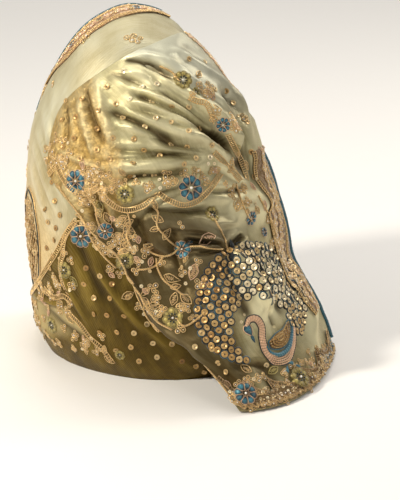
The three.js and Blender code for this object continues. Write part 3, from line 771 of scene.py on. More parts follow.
def makePallu():
    down, across = np.meshgrid(np.linspace(0, 1, pallu["rows"]), np.linspace(0, 1, pallu["columns"]),
                               indexing="ij")
    drape = palluDrape(down, across)
    fade = ease((1 - down) / (1 - pallu["foldsEnd"])) * ease((1 - across) / 0.06) * ease(across / 0.05)
    x, _, z = np.moveaxis(drape, -1, 0)
    main = foldLift(x, z) * fade
    u, v = toPixel(drape)
    edges = ease((1 - down) / 0.03) * ease((1 - across) / 0.04) * ease(across / 0.03)
    small = (creaseLift(u, v, palluCreases) + gatherLift(u, v)) * edges
    # Painted warm light: flecked gold left of the line, as the side that faces the warm lamp.
    gold = leftOf(u, v, warmLitEdge[::-1], 7) * ease((250 - v) / 40)
    crinkle = 1 - 2.2 * np.abs(rough(drape * np.array([1, 1, 0.45]), pallu["crinkleSize"], 4, 3.0))
    small = (small + gold * pallu["crinkle"] * crinkle
             + pallu["wrinkle"] * rough(drape, pallu["wrinkleSize"], 3, 5.0))
    lift = main + small
    flush = pallu["topFlush"] * ease((pallu["topEdge"] - down) / pallu["topEdge"])
    grid = withLift(drape, lift * ease(down / pallu["topEdge"]) - flush + pallu["outerFace"])
    grid[..., 2] = np.maximum(grid[..., 2], pallu["hemClear"] * (1 - down))
    sparse = pallu["tissueAndLitGold"] * ease((v - 205) / 40) * ease(0.5 + rough(drape, 26, 2, 8.0))
    # Painted highlight on the folds' crests and painted shade in their troughs.
    look = standing(main * 0.5 + small, 6.0, 3.0)
    look["gold"] = np.clip(gold + sparse, 0, 1)
    # Painted shade on the lower left, which lies away from the light, and a painted highlight towards the
    # top.
    look["valley"] = look["valley"] + ease((v - 196) / 60) * ease((262 - u) / 50)
    look["crest"] = look["crest"] + 0.3 * ease((150 - v) / 90)
    # Painted shade at the shadedSilk spots and a painted highlight at the litSilk spots.
    for kind, spots in (("valley", shadedSilk), ("crest", litSilk)):
        for column, row, wide, tall, depth in spots:
            look[kind] = look[kind] + depth * np.exp(-((u - column) / wide) ** 2 - ((v - row) / tall) ** 2)
        look[kind] = np.clip(look[kind], 0, 1)
    turnedOver = 1 - leftOf(u, v, foldOver[::-1], 5)
    look["pale"] = pallu["foldedOver"] * turnedOver * ease((136 - v) / 60) * ease((u - 88) / 20)
    made = shell("pallu_cloth", grid, pallu["thickness"], silks["champagne"], look)
    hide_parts("pallu")
    return made, grid


# The hidden folds, which show at the back as layers.
hidden = dict(inset=2.4, stations=160, frontTurns=[0, 9, 22, 36, 50, 64, 76, 90], layers=7, edgeGap=0.014,
              innerShare=0.16, layerRound=3.2, stagger=2.0, leaves=3, leafDepth=0.6, steps=26, wander=0.7,
              paleLayer=0.6, crest=0.4, cordRow=5)


# Across one folded layer: a groove, then its rounded edge scored into leaves of cloth.
def layerHeights():
    down = np.linspace(0.03, 0.97, hidden["steps"])
    rounded = np.sin(pi * down) ** 0.45 - 0.55 * np.exp(-((down - 0.03) / 0.05) ** 2) * 1.6
    return down, rounded, np.abs(np.sin(pi * hidden["leaves"] * down)) ** 0.6 - 1


def makeHidden():
    along = np.linspace(0, 1, hidden["stations"])
    wrapBack = wrapTurn(along, "back")
    first = np.sin(np.radians(wrapBack)) ** (2 / mound["backSquare"]) - hidden["edgeGap"]

    def back(share, proud):
        turn = 180 - np.degrees(np.arcsin(share ** (mound["backSquare"] / 2)))
        return movedOut(overRidge(along, turn), proud)

    rows = [movedOut(overRidge(along, np.full(along.shape, float(t))), np.full(along.shape, -hidden["inset"]))
            for t in hidden["frontTurns"]]
    rows += [movedOut(overRidge(along, mix(90, wrapBack, k)), np.full(along.shape, -hidden["inset"]))
             for k in (0.5, 1)]
    # Each row's painted shade: darker in the groove and the scores between leaves.
    grooveShade = [np.zeros(along.shape) for _ in rows]
    palest = [np.zeros(along.shape) for _ in rows]  # every other layer shows the pale side of the silk
    for layer in range(hidden["layers"]):
        step = hidden["stagger"] if layer % 2 else 0
        for down, rounded, leaf in zip(*layerHeights()):
            wander = np.array([noise.noise((a * 14, layer * 3.1 + down * 1.7, 0)) for a in along])
            height = np.where(rounded < 0, rounded * hidden["inset"], rounded * (hidden["layerRound"] + step))
            share = mix(first, hidden["innerShare"], (layer + down + 0.1 * wander) / hidden["layers"])
            rows.append(back(share, height + leaf * hidden["leafDepth"] + hidden["wander"] * wander))
            grooveShade.append(np.full(along.shape, min(1, max(0, 0.5 - 0.6 * rounded) - 0.3 * leaf)))
            palest.append(np.full(along.shape, hidden["paleLayer"] * (layer % 2) * max(0, rounded)))
    rows += [back(np.full(along.shape, hidden["innerShare"] * k), np.full(along.shape, h))
             for k, h in ((0.9, 0.0), (0.6, 2.2), (0.3, hidden["layerRound"]), (0.02, hidden["layerRound"]))]
    grid = np.stack(rows)
    grid[..., 2] = np.maximum(grid[..., 2], 0)
    grid[:, [0, -1], 2] = 0
    count, columns = grid.shape[:2]
    faces = [gridFaces(count, columns, 0, True)]
    index = np.arange(count * columns).reshape(count, columns)
    under = np.stack([index[:-1, 0], index[1:, 0], index[1:, -1], index[:-1, -1]], 1)
    faces.append(under)  # the flat underside
    run = np.linspace(0, 6.2, columns)
    turnRun = np.concatenate([[0], np.cumsum(np.linalg.norm(np.diff(grid, axis=0), axis=2).mean(1))]) / 100
    uv = np.stack(np.meshgrid(turnRun, run, indexing="ij"), -1).reshape(-1, 2)
    rest = [np.zeros(along.shape)] * (count - len(grooveShade))
    valley, pale = np.stack(grooveShade + rest), np.stack(palest + rest)
    # crest is a painted highlight on the rounded edges, valley the painted shade in the grooves.
    made = addMesh("hidden_folds_cloth", grid.reshape(-1, 3), np.vstack(faces), silks["champagne"],
                   {"gold": 0 * valley, "crest": hidden["crest"] * (1 - valley), "valley": valley,
                    "pale": pale}, uv)
    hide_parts("hidden_folds")
    firstRow = len(hidden["frontTurns"]) + 2 + hidden["cordRow"]
    edgeRows = [firstRow + layer * hidden["steps"] for layer in range(hidden["layers"])]
    return grid, -gridNormals(grid), [(row, slice(3, -3)) for row in edgeRows]


hiddenOuter, hiddenNormals, layerEdges = makeHidden()
wrapPiece, wrapOuter = makeWrap()
bodyPiece, bodyOuter = makeBody()
palluPiece, palluOuter = makePallu()
print("cloth draped")


def clothTree(*grids):
    points, faces, count = [], [], 0
    for grid in grids:
        points.append(grid.reshape(-1, 3))
        faces.append(gridFaces(*grid.shape[:2], count))
        count += len(points[-1])
    return BVHTree.FromPolygons(np.vstack(points).tolist(), np.vstack(faces).tolist())


cloth = clothTree(wrapOuter, bodyOuter, palluOuter, hiddenOuter)
chance = np.random.default_rng(7)


# The place on the cloth behind a pixel, and its outward direction.
def seenAt(u, v):
    way = rayThrough(u, v)
    hit, normal, _, _ = cloth.ray_cast(Vector(cameraPoint), Vector(way))
    if hit is None:
        return None
    normal = np.array(normal)
    return np.array(hit), normal if normal @ way < 0 else -normal


# The same, with the direction evened out over the cloth around it.
def placeAt(u, v, spread=3.0):
    found = seenAt(u, v)
    if found is None:
        return None
    around = [seenAt(u + a, v + b) for a, b in ((spread, 0), (-spread, 0), (0, spread), (0, -spread))]
    near = [n for p, n in filter(None, around) if np.linalg.norm(p - found[0]) < 4 * spread]
    return found[0], unit(found[1] + np.sum(near, axis=0) if near else found[1])


# Points dropped on to the cloth along a direction, then raised off it.
def settle(points, normal, lift=0.0, reach=8.0):
    way = Vector(normal)
    laid = []
    for p in points:
        hit = cloth.ray_cast(Vector(p) + way * reach, -way, 2.2 * reach)[0]
        laid.append(p if hit is None else np.array(hit))
    return np.array(laid) + np.asarray(lift)[..., None] * normal


def evened(points, normals, step):
    run = np.concatenate([[0], np.cumsum(np.linalg.norm(np.diff(points, axis=0), axis=1))])
    count = max(3, int(round(run[-1] / step)) + 1)
    at = np.linspace(0, run[-1], count)
    both = [np.stack([np.interp(at, run, values[:, c]) for c in range(3)], 1) for values in (points, normals)]
    padded = [np.pad(both[1][:, c], 3, "edge") for c in range(3)]
    return both[0], unit(np.stack([np.convolve(column, np.ones(7) / 7, "valid") for column in padded], 1))


# A line through pixels laid on the cloth: runs of points and outward directions at even steps.
def laidLine(line, step=0.8):
    line = np.asarray(line, float)
    length = np.linalg.norm(np.diff(line, axis=0), axis=1).sum()
    found = [seenAt(u, v) for u, v in smoothLine(line, max(6, int(length * 1.3)))]
    runs, run = [], []
    for hit in found + [None]:
        if hit is not None and (not run or np.linalg.norm(hit[0] - run[-1][0]) < 7):
            run.append(hit)
            continue
        if len(run) > 4:
            runs.append(evened(np.array([p for p, n in run]), np.array([n for p, n in run]), step))
        run = [hit] if hit is not None else []
    return runs


# Points and outward directions at places 0..1 down and across a stretch of cloth.
def onGrid(grid, down, across, lift=0.0):
    rows, columns = grid.shape[:2]
    normals = gridNormals(grid)
    d, a = np.broadcast_arrays(np.clip(down, 0, 1) * (rows - 1.001),
                               np.clip(across, 0, 1) * (columns - 1.001))
    i, j = np.floor(d).astype(int), np.floor(a).astype(int)
    s, t = (d - i)[..., None], (a - j)[..., None]

    def at(values):
        return mix(mix(values[i, j], values[i, j + 1], t), mix(values[i + 1, j], values[i + 1, j + 1], t), s)

    out = unit(at(normals))
    return at(grid) + out * lift, out


def gridRun(grid, down, across, step=0.8):
    points, normals = onGrid(grid, down, across)
    return evened(points, normals, step)


# Faces between rows of points that each close on themselves.
def ringFaces(rows, sides, closed=False):
    i, j = (x.ravel() for x in np.meshgrid(np.arange(rows if closed else rows - 1), np.arange(sides),
                                           indexing="ij"))
    after, beside = (i + 1) % rows, (j + 1) % sides
    return np.stack([i * sides + j, i * sides + beside, after * sides + beside, after * sides + j], 1)


def tube(bag, points, normals, radius, tint, sides=5, closed=False):
    points = np.asarray(points, float)
    way = np.roll(points, -1, 0) - np.roll(points, 1, 0) if closed else np.gradient(points, axis=0)
    way = unit(way)
    side = unit(np.cross(way, normals))
    up = np.cross(side, way)
    angle = roundTurn(sides)[None, :, None]
    wide = np.broadcast_to(np.asarray(radius, float), (len(points),))[:, None, None]
    ring = points[:, None] + wide * (np.cos(angle) * side[:, None] + np.sin(angle) * up[:, None])
    tints = np.repeat(tint, sides) if np.size(tint) > 1 else tint
    bag.add(ring, ringFaces(len(points), sides, closed), tints)


# Two strands twisted round each other.
def twist(bag, run, radius=0.55, pitch=3.2, tint=0.7, lift=0.5):
    points, normals = run
    side = unit(np.cross(unit(np.gradient(points, axis=0)), normals))
    reach = np.concatenate([[0], np.cumsum(np.linalg.norm(np.diff(points, axis=0), axis=1))])
    for start in (0, pi):
        angle = (2 * pi * reach / pitch + start)[:, None]
        strand = points + normals * lift + radius * (np.cos(angle) * side + np.sin(angle) * normals)
        # Each strand is drawn lighter where it rides up and darker where it dips under: painted highlight and
        # shade.
        tube(bag, strand, normals, radius * 0.8, tint + 0.2 * np.sin(angle[:, 0]), 4)


# Two cords joined by rungs.
def ladder(bag, run, width=3.8, every=1.9, tint=0.82):
    points, normals = run
    way = unit(np.gradient(points, axis=0))
    side = unit(np.cross(way, normals))
    stitch = 0.12 * np.sin(np.arange(len(points)) * 2.1)
    for edge in (-0.5, 0.5):
        cord = points + side * width * edge + normals * 0.5
        tube(bag, cord, normals, 0.46 + 0.5 * stitch, tint + 2 * stitch, 4)
    step = np.linalg.norm(np.diff(points, axis=0), axis=1).mean()
    for i in range(1, len(points) - 1, max(1, int(round(every / step)))):
        k = np.linspace(-0.5, 0.5, 4)[:, None]
        arch = 0.3 + 0.5 * (1 - 4 * k * k)
        rung = points[i] + side[i] * width * k + way[i] * 0.5 * k + normals[i] * arch
        tube(bag, rung, np.repeat(normals[i:i + 1], 4, 0), 0.36, tint - 0.12, 4)


# The ways across and up the cloth at a place, turned by angle.
def frameAt(place, angle=0.0):
    point, normal = place
    up = unit(np.array([0, 0.0001, 1]) - normal * normal[2])
    across = np.cross(up, normal)
    return point, normal, cos(angle) * across + sin(angle) * up, cos(angle) * up - sin(angle) * across


# A cord through places (across, up) of a motif, in millimetres.
def laidLoop(bag, place, local, radius, tint, lift=0.4, closed=True, sides=4):
    point, normal, a, b = place
    local = np.asarray(local, float)
    points = settle(point + local[:, :1] * a + local[:, 1:] * b, normal, np.full(len(local), lift))
    tube(bag, points, np.broadcast_to(normal, points.shape), radius, tint, sides, closed)


def turned(local, angle):
    local = np.asarray(local, float)
    return np.stack([local[:, 0] * cos(angle) - local[:, 1] * sin(angle),
                     local[:, 0] * sin(angle) + local[:, 1] * cos(angle)], 1)


# A padded satin patch inside an outline, highest along its middle, drawn lighter at its middle and darker at
# its edge as painted highlight and shade.
def dome(bag, place, outline, height, tint, rings=3, lift=0.1):
    point, normal, a, b = place
    outline = np.asarray(outline, float)
    middle = outline.mean(0)
    rows, lifts, shades = [], [], []
    for k in np.linspace(1, 0.12, rings + 1):
        rows.append(middle + (outline - middle) * k)
        lifts.append(np.full(len(outline), lift + height * (1 - k * k) ** 0.5 if k < 1 else 0.0))
        shades.append(tint + 0.6 * (0.55 - k) + 0.16 * np.cos(np.arange(len(outline)) * 2.4))
    local, lifts, shades = np.vstack(rows), np.concatenate(lifts), np.concatenate(shades)
    points = settle(point + local[:, :1] * a + local[:, 1:] * b, normal, lifts)
    n = len(outline)
    cap = rings * n + np.array([(0, k, k + 1, -1) for k in range(1, n - 1)])
    cap[:, 3] = -1
    bag.add(points, np.vstack([ringFaces(rings + 1, n), cap]), np.clip(shades, 0, 1))


beadShape = dict(bands=4, sides=8, raised=0.6)


def bead(bag, place, offset, radius, tint, lift=0.0):
    point, normal, a, b = place
    raised = np.array([radius * beadShape["raised"] + lift])
    centre = settle([point + offset[0] * a + offset[1] * b], normal, raised)[0]
    bands, sides = beadShape["bands"], beadShape["sides"]
    down, around = (x.reshape(-1, 1) for x in np.meshgrid(np.linspace(0, pi, bands + 1), roundTurn(sides),
                                                          indexing="ij"))
    outward = np.cos(around) * a + np.sin(around) * b
    points = centre + radius * (np.cos(down) * normal + np.sin(down) * outward)
    bag.add(points, ringFaces(bands + 1, sides)[:, [0, 3, 2, 1]], tint)


# The section of a sequin from its hole to its rim and back under: share of its radius, height.
sequinProfile = [
    (0.17, 0.1), (0.24, 0.3), (0.5, 0.34), (0.66, 0.62), (0.84, 0.74), (1.0, 0.56), (0.98, 0.26), (0.55, 0.1)]
sequinShape = dict(sides=12, flatness=3.2, sewnLift=0.25, knot=0.2, knotTint=0.3, tintSpread=0.1)


# A dished metal disc sewn down through its hole.
def sequin(place, offset=(0, 0), radius=2.3, tint=0.5, lean=0.12):
    point, normal, a, b = place
    centre = settle([point + offset[0] * a + offset[1] * b], normal, np.array([sequinShape["sewnLift"]]))[0]
    tip = unit(normal + lean * (chance.normal() * a + chance.normal() * b))
    across = unit(np.cross(b, tip))
    up = np.cross(tip, across)
    sides = sequinShape["sides"]
    around = roundTurn(sides)[:, None]
    spin = np.cos(around) * across + np.sin(around) * up
    profile = np.array(sequinProfile) * (radius, radius / sequinShape["flatness"])
    points = np.stack([centre + r * spin + h * tip for r, h in profile])
    shade = np.clip(tint + sequinShape["tintSpread"] * chance.normal(), 0, 1)
    sequins.add(points, ringFaces(len(profile), sides, True), shade)
    bead(night, (centre + tip * 0.1, tip, across, up), (0, 0), sequinShape["knot"] * radius,
         sequinShape["knotTint"])
# Outlines from root to tip, as shares of their length and half width.
petalShape = [(0.0, 0.0), (0.2, 0.42), (0.5, 0.82), (0.78, 0.9), (0.94, 0.55), (1.0, 0.0),
              (0.94, -0.55), (0.78, -0.9), (0.5, -0.82), (0.2, -0.42)]
leafShape = [(0.0, 0.0), (0.16, 0.5), (0.4, 0.95), (0.65, 0.85), (0.88, 0.4), (1.0, 0.0),
             (0.88, -0.4), (0.65, -0.85), (0.4, -0.95), (0.16, -0.5)]


def petalAt(shape, start, length, halfWidth, angle):
    local = np.array(shape) * (length, halfWidth) + (start, 0)
    return turned(local, angle)


flowerShape = dict(root=0.24, petal=0.78, petalLift=0.9, cord=0.2, eyeRoot=0.2, eye=0.4, eyeWide=0.34,
                   bead=0.13, tintSpread=0.2)


# Satin petals with a corded outline round a bead.
def flower(place, size, bag, edge, petals=8, spin=0.0, tint=0.45, proud=0.0):
    reach = size / 2
    wide = reach * 0.82 * sin(pi / petals) * 1.08
    look = flowerShape
    for k in range(petals):
        angle = spin + 2 * pi * k / petals
        shape = petalAt(petalShape, reach * look["root"], reach * look["petal"], wide, angle)
        shade = tint + look["tintSpread"] * chance.normal()
        dome(bag, place, shape, look["petalLift"], shade, lift=0.1 + proud)
        laidLoop(edge, place, shape * 1.02, look["cord"], 0.7, 0.5 + proud)
        eye = petalAt(leafShape, reach * look["eyeRoot"], reach * look["eye"], wide * look["eyeWide"], angle)
        dome(night, place, eye, 0.3, 0.2, 2, 0.95 + proud)
    bead(beads, place, (0, 0), reach * look["bead"], 1.0, proud)


leafWork = dict(slender=0.3, cord=0.36, coilFrom=0.22, coilTo=0.8, coilWide=0.17, coilPoints=17, coilTurn=1.9)


# A corded leaf with a coil inside.
def leaf(place, length, angle, bag, tint=0.6):
    shape = petalAt(leafShape, 0.4, length, length * leafWork["slender"], angle)
    laidLoop(bag, place, shape, leafWork["cord"], tint + 0.25)
    count = leafWork["coilPoints"]
    along = np.linspace(leafWork["coilFrom"], leafWork["coilTo"], count)
    coil = np.sin(np.arange(count) * leafWork["coilTurn"])
    swing = length * leafWork["coilWide"] * coil * np.sin(along * pi)
    laidLoop(bag, place, turned(np.stack([along * length, swing], 1), angle), 0.3, tint + 0.05, 0.35, False)


def oval(count, wide, tall=None):
    turn = roundTurn(count)
    return np.stack([wide * np.cos(turn), (tall or wide) * np.sin(turn)], 1)


# A few small round loops, each about a tiny bead.
def posy(place, size, spin, bag, count=3, tone=0.62):
    for k in range(count):
        angle = spin + 2 * pi * k / count
        at = np.array([cos(angle), sin(angle)]) * size * 0.55
        laidLoop(bag, place, at + oval(8, size * 0.42), 0.36, tone + 0.38 * chance.random())
        bead(beads if k % 3 == 0 else sequins, place, at, size * 0.17, 0.8)


def vine(line, bag, radius=0.54):
    for run in laidLine(line, 0.55):
        twist(bag, run, radius)


# Everything sewn on, by its thread.
copper, teal, olive, blush, night, sequins, beads = (Bag() for _ in range(7))

# The garland: each scallop hangs between two cusps.
garlands = [
    [(46, 177), (51, 172), (57, 165)],
    [(57, 165), (63, 178), (71, 189), (80, 194), (90, 192), (99, 187)],
    [(99, 187), (106, 199), (118, 208), (130, 210), (145, 205), (158, 193)],
    [(158, 193), (170, 201), (184, 205), (197, 201), (210, 189), (221, 173)],
    [(189, 97), (197, 101), (206, 103), (211, 112), (216, 123)],
    [(228, 134), (236, 150), (243, 166), (247, 180)],
    [(214, 152), (224, 162), (234, 172), (241, 181)],
    [(76, 220), (68, 231), (64, 242), (63, 254)],
    [(65, 250), (61, 262), (61, 276), (66, 290)],
    [(45, 288), (54, 297), (64, 296), (72, 303)],
    [(70, 314), (80, 324), (90, 337), (101, 347), (112, 361)],
]
vines = [
    [(153, 204), (158, 213), (157, 224), (164, 235), (172, 243), (180, 248)],
    [(180, 248), (172, 254), (164, 256), (155, 254), (148, 250)],
    [(164, 256), (158, 264), (148, 269), (138, 270)],
    [(157, 258), (158, 270), (164, 280), (174, 288), (184, 296)],
    [(190, 247), (202, 247), (213, 248), (222, 249)],
    [(128, 213), (130, 224), (127, 236), (131, 246)],
    [(76, 214), (84, 222), (92, 240), (104, 256), (116, 268)],
    [(88, 196), (96, 208), (98, 222), (104, 232)],
    [(236, 184), (240, 198), (246, 212), (252, 222)],
    [(207, 212), (216, 222), (223, 236), (227, 249)],
    [(128, 276), (138, 292), (148, 310), (158, 322), (172, 330)],
    [(176, 318), (184, 326), (196, 320), (205, 312)],
    [(258, 196), (268, 214), (276, 236), (282, 250)],
    [(160, 66), (172, 72), (180, 82)],
    [(262, 160), (268, 178), (274, 196), (278, 212)],
]
flowers = [  # column, row, size in pixels, thread
    (76, 181, 19, teal), (191, 188, 22, teal), (81, 236, 21, teal), (105, 231, 14, teal),
    (182, 249, 15, teal), (251, 218, 13, teal), (223, 125, 13, teal), (245, 394, 20, teal),
    (125, 194, 17, olive), (183, 80, 16, olive), (212, 215, 14, olive), (299, 378, 19, olive),
    (64, 270, 15, olive), (125, 261, 14, olive), (173, 318, 18, olive), (52, 325, 15, olive),
    (264, 232, 9, teal), (270, 186, 9, olive), (196, 92, 8, olive), (120, 355, 9, olive),
]
posies = [  # column, row, size in pixels, loops
    (64, 166, 9, 4), (89, 171, 9, 4), (102, 176, 8, 3), (91, 187, 7, 3), (171, 181, 10, 3),
    (184, 173, 9, 3), (202, 176, 8, 3), (206, 182, 8, 3), (136, 182, 8, 3), (150, 186, 9, 4),
    (146, 249, 9, 3), (136, 271, 8, 3), (181, 225, 8, 2), (183, 272, 9, 3), (86, 203, 9, 3),
    (98, 213, 9, 4), (119, 221, 8, 3), (112, 244, 9, 4), (98, 246, 8, 3), (134, 250, 8, 3),
    (120, 274, 8, 3), (138, 262, 8, 3), (156, 300, 9, 3), (163, 309, 8, 3), (157, 316, 8, 3),
    (187, 309, 8, 3), (192, 318, 7, 3), (199, 86, 9, 4), (204, 93, 8, 3), (193, 94, 7, 3),
    (217, 112, 9, 4), (232, 122, 9, 4), (239, 128, 8, 3), (213, 118, 8, 3), (56, 282, 9, 4),
    (72, 286, 9, 4), (60, 304, 9, 4), (70, 304, 8, 3), (48, 306, 8, 3), (36, 304, 9, 3),
    (44, 318, 8, 3), (38, 330, 8, 3), (64, 328, 8, 3), (76, 334, 8, 3), (86, 344, 9, 4),
    (96, 352, 8, 3), (74, 348, 8, 3), (60, 344, 8, 3), (264, 404, 8, 3), (274, 402, 8, 3),
    (286, 401, 8, 3), (297, 399, 8, 3), (252, 408, 8, 3), (310, 389, 8, 3), (317, 378, 8, 3),
    (322, 366, 8, 3), (326, 354, 8, 3), (314, 367, 7, 3), (288, 384, 8, 3), (276, 385, 7, 3),
    (258, 378, 9, 4), (250, 382, 8, 3), (238, 384, 8, 3), (231, 396, 8, 3), (237, 402, 7, 3),
    (285, 372, 8, 3), (308, 352, 7, 3), (300, 362, 8, 3), (240, 206, 8, 2), (243, 191, 8, 3),
    (226, 184, 7, 3), (232, 196, 8, 3), (131, 38, 13, 3), (139, 40, 10, 2), (85, 39, 12, 3),
    (53, 84, 9, 2), (217, 170, 7, 3), (50, 148, 8, 3), (56, 140, 8, 3), (47, 160, 8, 3),
    (60, 157, 7, 3), (198, 262, 8, 3),
]
leaves = [  # column, row, length in pixels, degrees, thread
    (164, 222, 12, 150, copper), (163, 240, 13, 60, copper), (160, 228, 10, 200, copper),
    (150, 251, 9, 130, copper), (164, 275, 14, 350, copper), (180, 294, 14, 320, copper),
    (170, 288, 10, 20, copper), (216, 236, 15, 175, blush), (196, 263, 16, 250, blush),
    (157, 211, 10, 110, copper), (131, 226, 14, 250, copper), (128, 238, 12, 240, copper),
    (98, 200, 14, 280, olive), (104, 212, 13, 300, copper), (97, 226, 12, 210, copper),
    (108, 250, 12, 330, copper), (88, 222, 13, 260, blush), (134, 292, 13, 210, copper),
    (146, 306, 12, 10, copper), (152, 322, 11, 300, copper), (191, 278, 12, 70, copper),
    (204, 290, 12, 80, blush), (238, 198, 11, 230, copper), (236, 212, 10, 60, copper),
    (255, 206, 10, 300, copper), (270, 220, 11, 290, copper), (276, 244, 10, 250, copper),
    (264, 200, 10, 240, blush), (204, 88, 12, 320, copper), (197, 78, 11, 30, copper),
    (213, 105, 12, 330, copper), (233, 124, 12, 330, blush), (236, 144, 11, 290, olive),
    (244, 160, 10, 280, copper), (60, 262, 12, 300, olive), (70, 276, 12, 320, olive),
    (50, 292, 12, 200, copper), (66, 312, 13, 310, copper), (44, 330, 12, 330, copper),
    (80, 342, 12, 320, copper), (104, 356, 12, 330, copper), (252, 372, 12, 150, copper),
    (268, 374, 12, 20, olive), (312, 372, 12, 280, copper), (320, 356, 12, 290, copper),
    (306, 366, 12, 250, olive), (222, 380, 12, 300, blush), (172, 306, 13, 80, copper),
]
fieldSequins = [  # column, row, painted brightness: paler where the sequin catches the light, darker where it lies in shade
    (124, 71, 1), (157, 84, .95), (142, 87, 1), (130, 99, .9), (210, 157, 1), (189, 59, .6),
    (205, 62, .7), (215, 89, .8), (226, 91, .6), (233, 103, .5), (247, 122, .5), (251, 152, .4),
    (253, 177, .4), (107, 87, .5), (123, 118, .6), (156, 118, .6), (145, 127, .5), (134, 139, .5),
    (171, 145, .6), (160, 156, .6), (154, 175, .5), (187, 147, .5), (189, 131, .5), (200, 128, .5),
    (172, 106, .6), (189, 107, .5), (212, 145, .5), (217, 140, .5), (171, 122, .5), (184, 164, .5),
    (82, 99, .4), (98, 110, .4), (66, 101, .5), (62, 120, .4), (76, 117, .4), (56, 134, .4),
    (74, 138, .4), (97, 129, .4), (113, 138, .5), (63, 147, .4), (97, 150, .4), (80, 159, .4),
    (110, 159, .5), (133, 163, .5), (130, 176, .5), (195, 347, .5), (212, 349, .5), (218, 363, .5),
    (266, 365, .6), (176, 76, .6), (152, 102, .6), (116, 104, .5), (196, 158, .6), (144, 150, .5),
    (204, 372, .4), (226, 372, .4), (94, 298, .3), (110, 298, .3), (128, 297, .5), (107, 315, .3),
    (124, 316, .4), (147, 324, .6), (117, 332, .4), (134, 333, .5), (131, 347, .4), (153, 343, .5),
    (172, 344, .5), (157, 357, .5), (139, 361, .4), (182, 361, .3), (86, 268, .3), (100, 276, .3),
    (84, 284, .3), (112, 284, .3), (94, 314, .3), (100, 332, .3), (116, 350, .3), (196, 366, .3),
    (55, 201, .35), (60, 215, .35), (45, 209, .35), (56, 228, .35), (54, 240, .35), (53, 256, .35),
    (52, 182, .4), (48, 222, .35), (47, 248, .35), (50, 268, .35),
]
thickets = [  # column, row, reach across and down, how many small motifs
    (58, 150, 12, 16, 14), (84, 176, 18, 10, 16), (112, 184, 22, 12, 20), (90, 208, 16, 16, 16),
    (106, 236, 16, 16, 20), (122, 262, 14, 16, 18), (134, 226, 16, 12, 8), (150, 300, 14, 14, 12),
    (176, 316, 14, 14, 12), (54, 286, 16, 18, 20), (66, 262, 8, 16, 8), (50, 328, 18, 20, 16),
    (90, 345, 18, 12, 12), (206, 90, 12, 10, 10), (234, 124, 10, 12, 10), (214, 172, 20, 10, 10),
    (240, 196, 16, 18, 12), (236, 398, 10, 12, 12), (254, 386, 14, 10, 12), (296, 374, 16, 12, 14),
    (320, 362, 10, 14, 10), (166, 180, 26, 8, 10), (190, 272, 10, 14, 6), (150, 262, 12, 10, 5),
    (274, 220, 8, 26, 12),
]


flowerSpots = np.array([flowerRow[:2] for flowerRow in flowers], float)


def pixels(value):
    return value * view["mmPerPixel"]


# Whether a pixel is clear of the large flowers.
def openSpot(u, v, reach=10):
    return np.hypot(flowerSpots[:, 0] - u, flowerSpots[:, 1] - v).min() > reach


# Rows of a table whose pixels fall on the cloth, each with its place.
def laidOut(rows):
    for u, v, *rest in rows:
        place = placeAt(u, v)
        if place:
            yield frameAt(place), v, *rest


sewing = dict(flowerSize=1.08, posySize=0.55, hemRow=370, hemFlowersProud=2.0, posyShare=0.45, leafShare=0.75,
              copperShare=0.66, fieldLean=0.2)


def sewAll():
    for line in garlands:
        for run in laidLine(line, 0.6):
            ladder(copper, run)
    for line in vines:
        vine(line, copper)
    for place, v, size, bag in laidOut(flowers):
        proud = sewing["hemFlowersProud"] if v > sewing["hemRow"] else 0.0
        edge, tint = (blush, 0.45) if bag is teal else (olive, 0.5)
        flower(place, pixels(size) * sewing["flowerSize"], bag, edge, spin=chance.uniform(0, 1), tint=tint,
               proud=proud)
    for place, _, size, count in laidOut(posies):
        posy(place, pixels(size) * sewing["posySize"], chance.uniform(0, 6), copper, count)
    for place, _, length, angle, bag in laidOut(leaves):
        leaf(place, pixels(length), radians(angle), bag)
    for u, v, wide, tall, count in thickets:
        for _ in range(count):
            spot = np.array((u, v)) + chance.uniform(-1, 1, 2) * (wide, tall)
            place = placeAt(*spot)
            if place is None or not openSpot(*spot):
                continue
            kind = chance.random()
            if kind < sewing["posyShare"]:
                posy(frameAt(place), chance.uniform(3.2, 4.6), chance.uniform(0, 6), copper, 3)
            elif kind < sewing["leafShare"]:
                bag = copper if kind < sewing["copperShare"] else blush
                leaf(frameAt(place), chance.uniform(5, 8), chance.uniform(0, 6), bag)
            else:
                sequin(frameAt(place), radius=1.5, tint=chance.uniform(0.6, 1))
    for place, _, tint in laidOut(fieldSequins):
        sequin(place, tint=tint, lean=sewing["fieldLean"])


# Places in a fan between two radii at each angle, none nearer than minGap to the next.
def fanArea(centre, spans, minGap, ringStep=2.0, steps=260):
    degrees, *radii = zip(*spans)
    angles = np.radians(degrees)
    kept = []
    count = int(max(s[2] - s[1] for s in spans) / ringStep)
    for ring in range(count + 1):
        for angle in np.linspace(angles[0], angles[-1], steps):
            inner, outer = (np.interp(angle, angles, radius) for radius in radii)
            reach = outer - (outer - inner) * ring / count
            hit = seenAt(centre[0] + reach * cos(angle), centre[1] - reach * sin(angle))
            if hit and all(np.linalg.norm(hit[0] - p) > minGap for p, n in kept):
                kept.append(hit)
    return kept


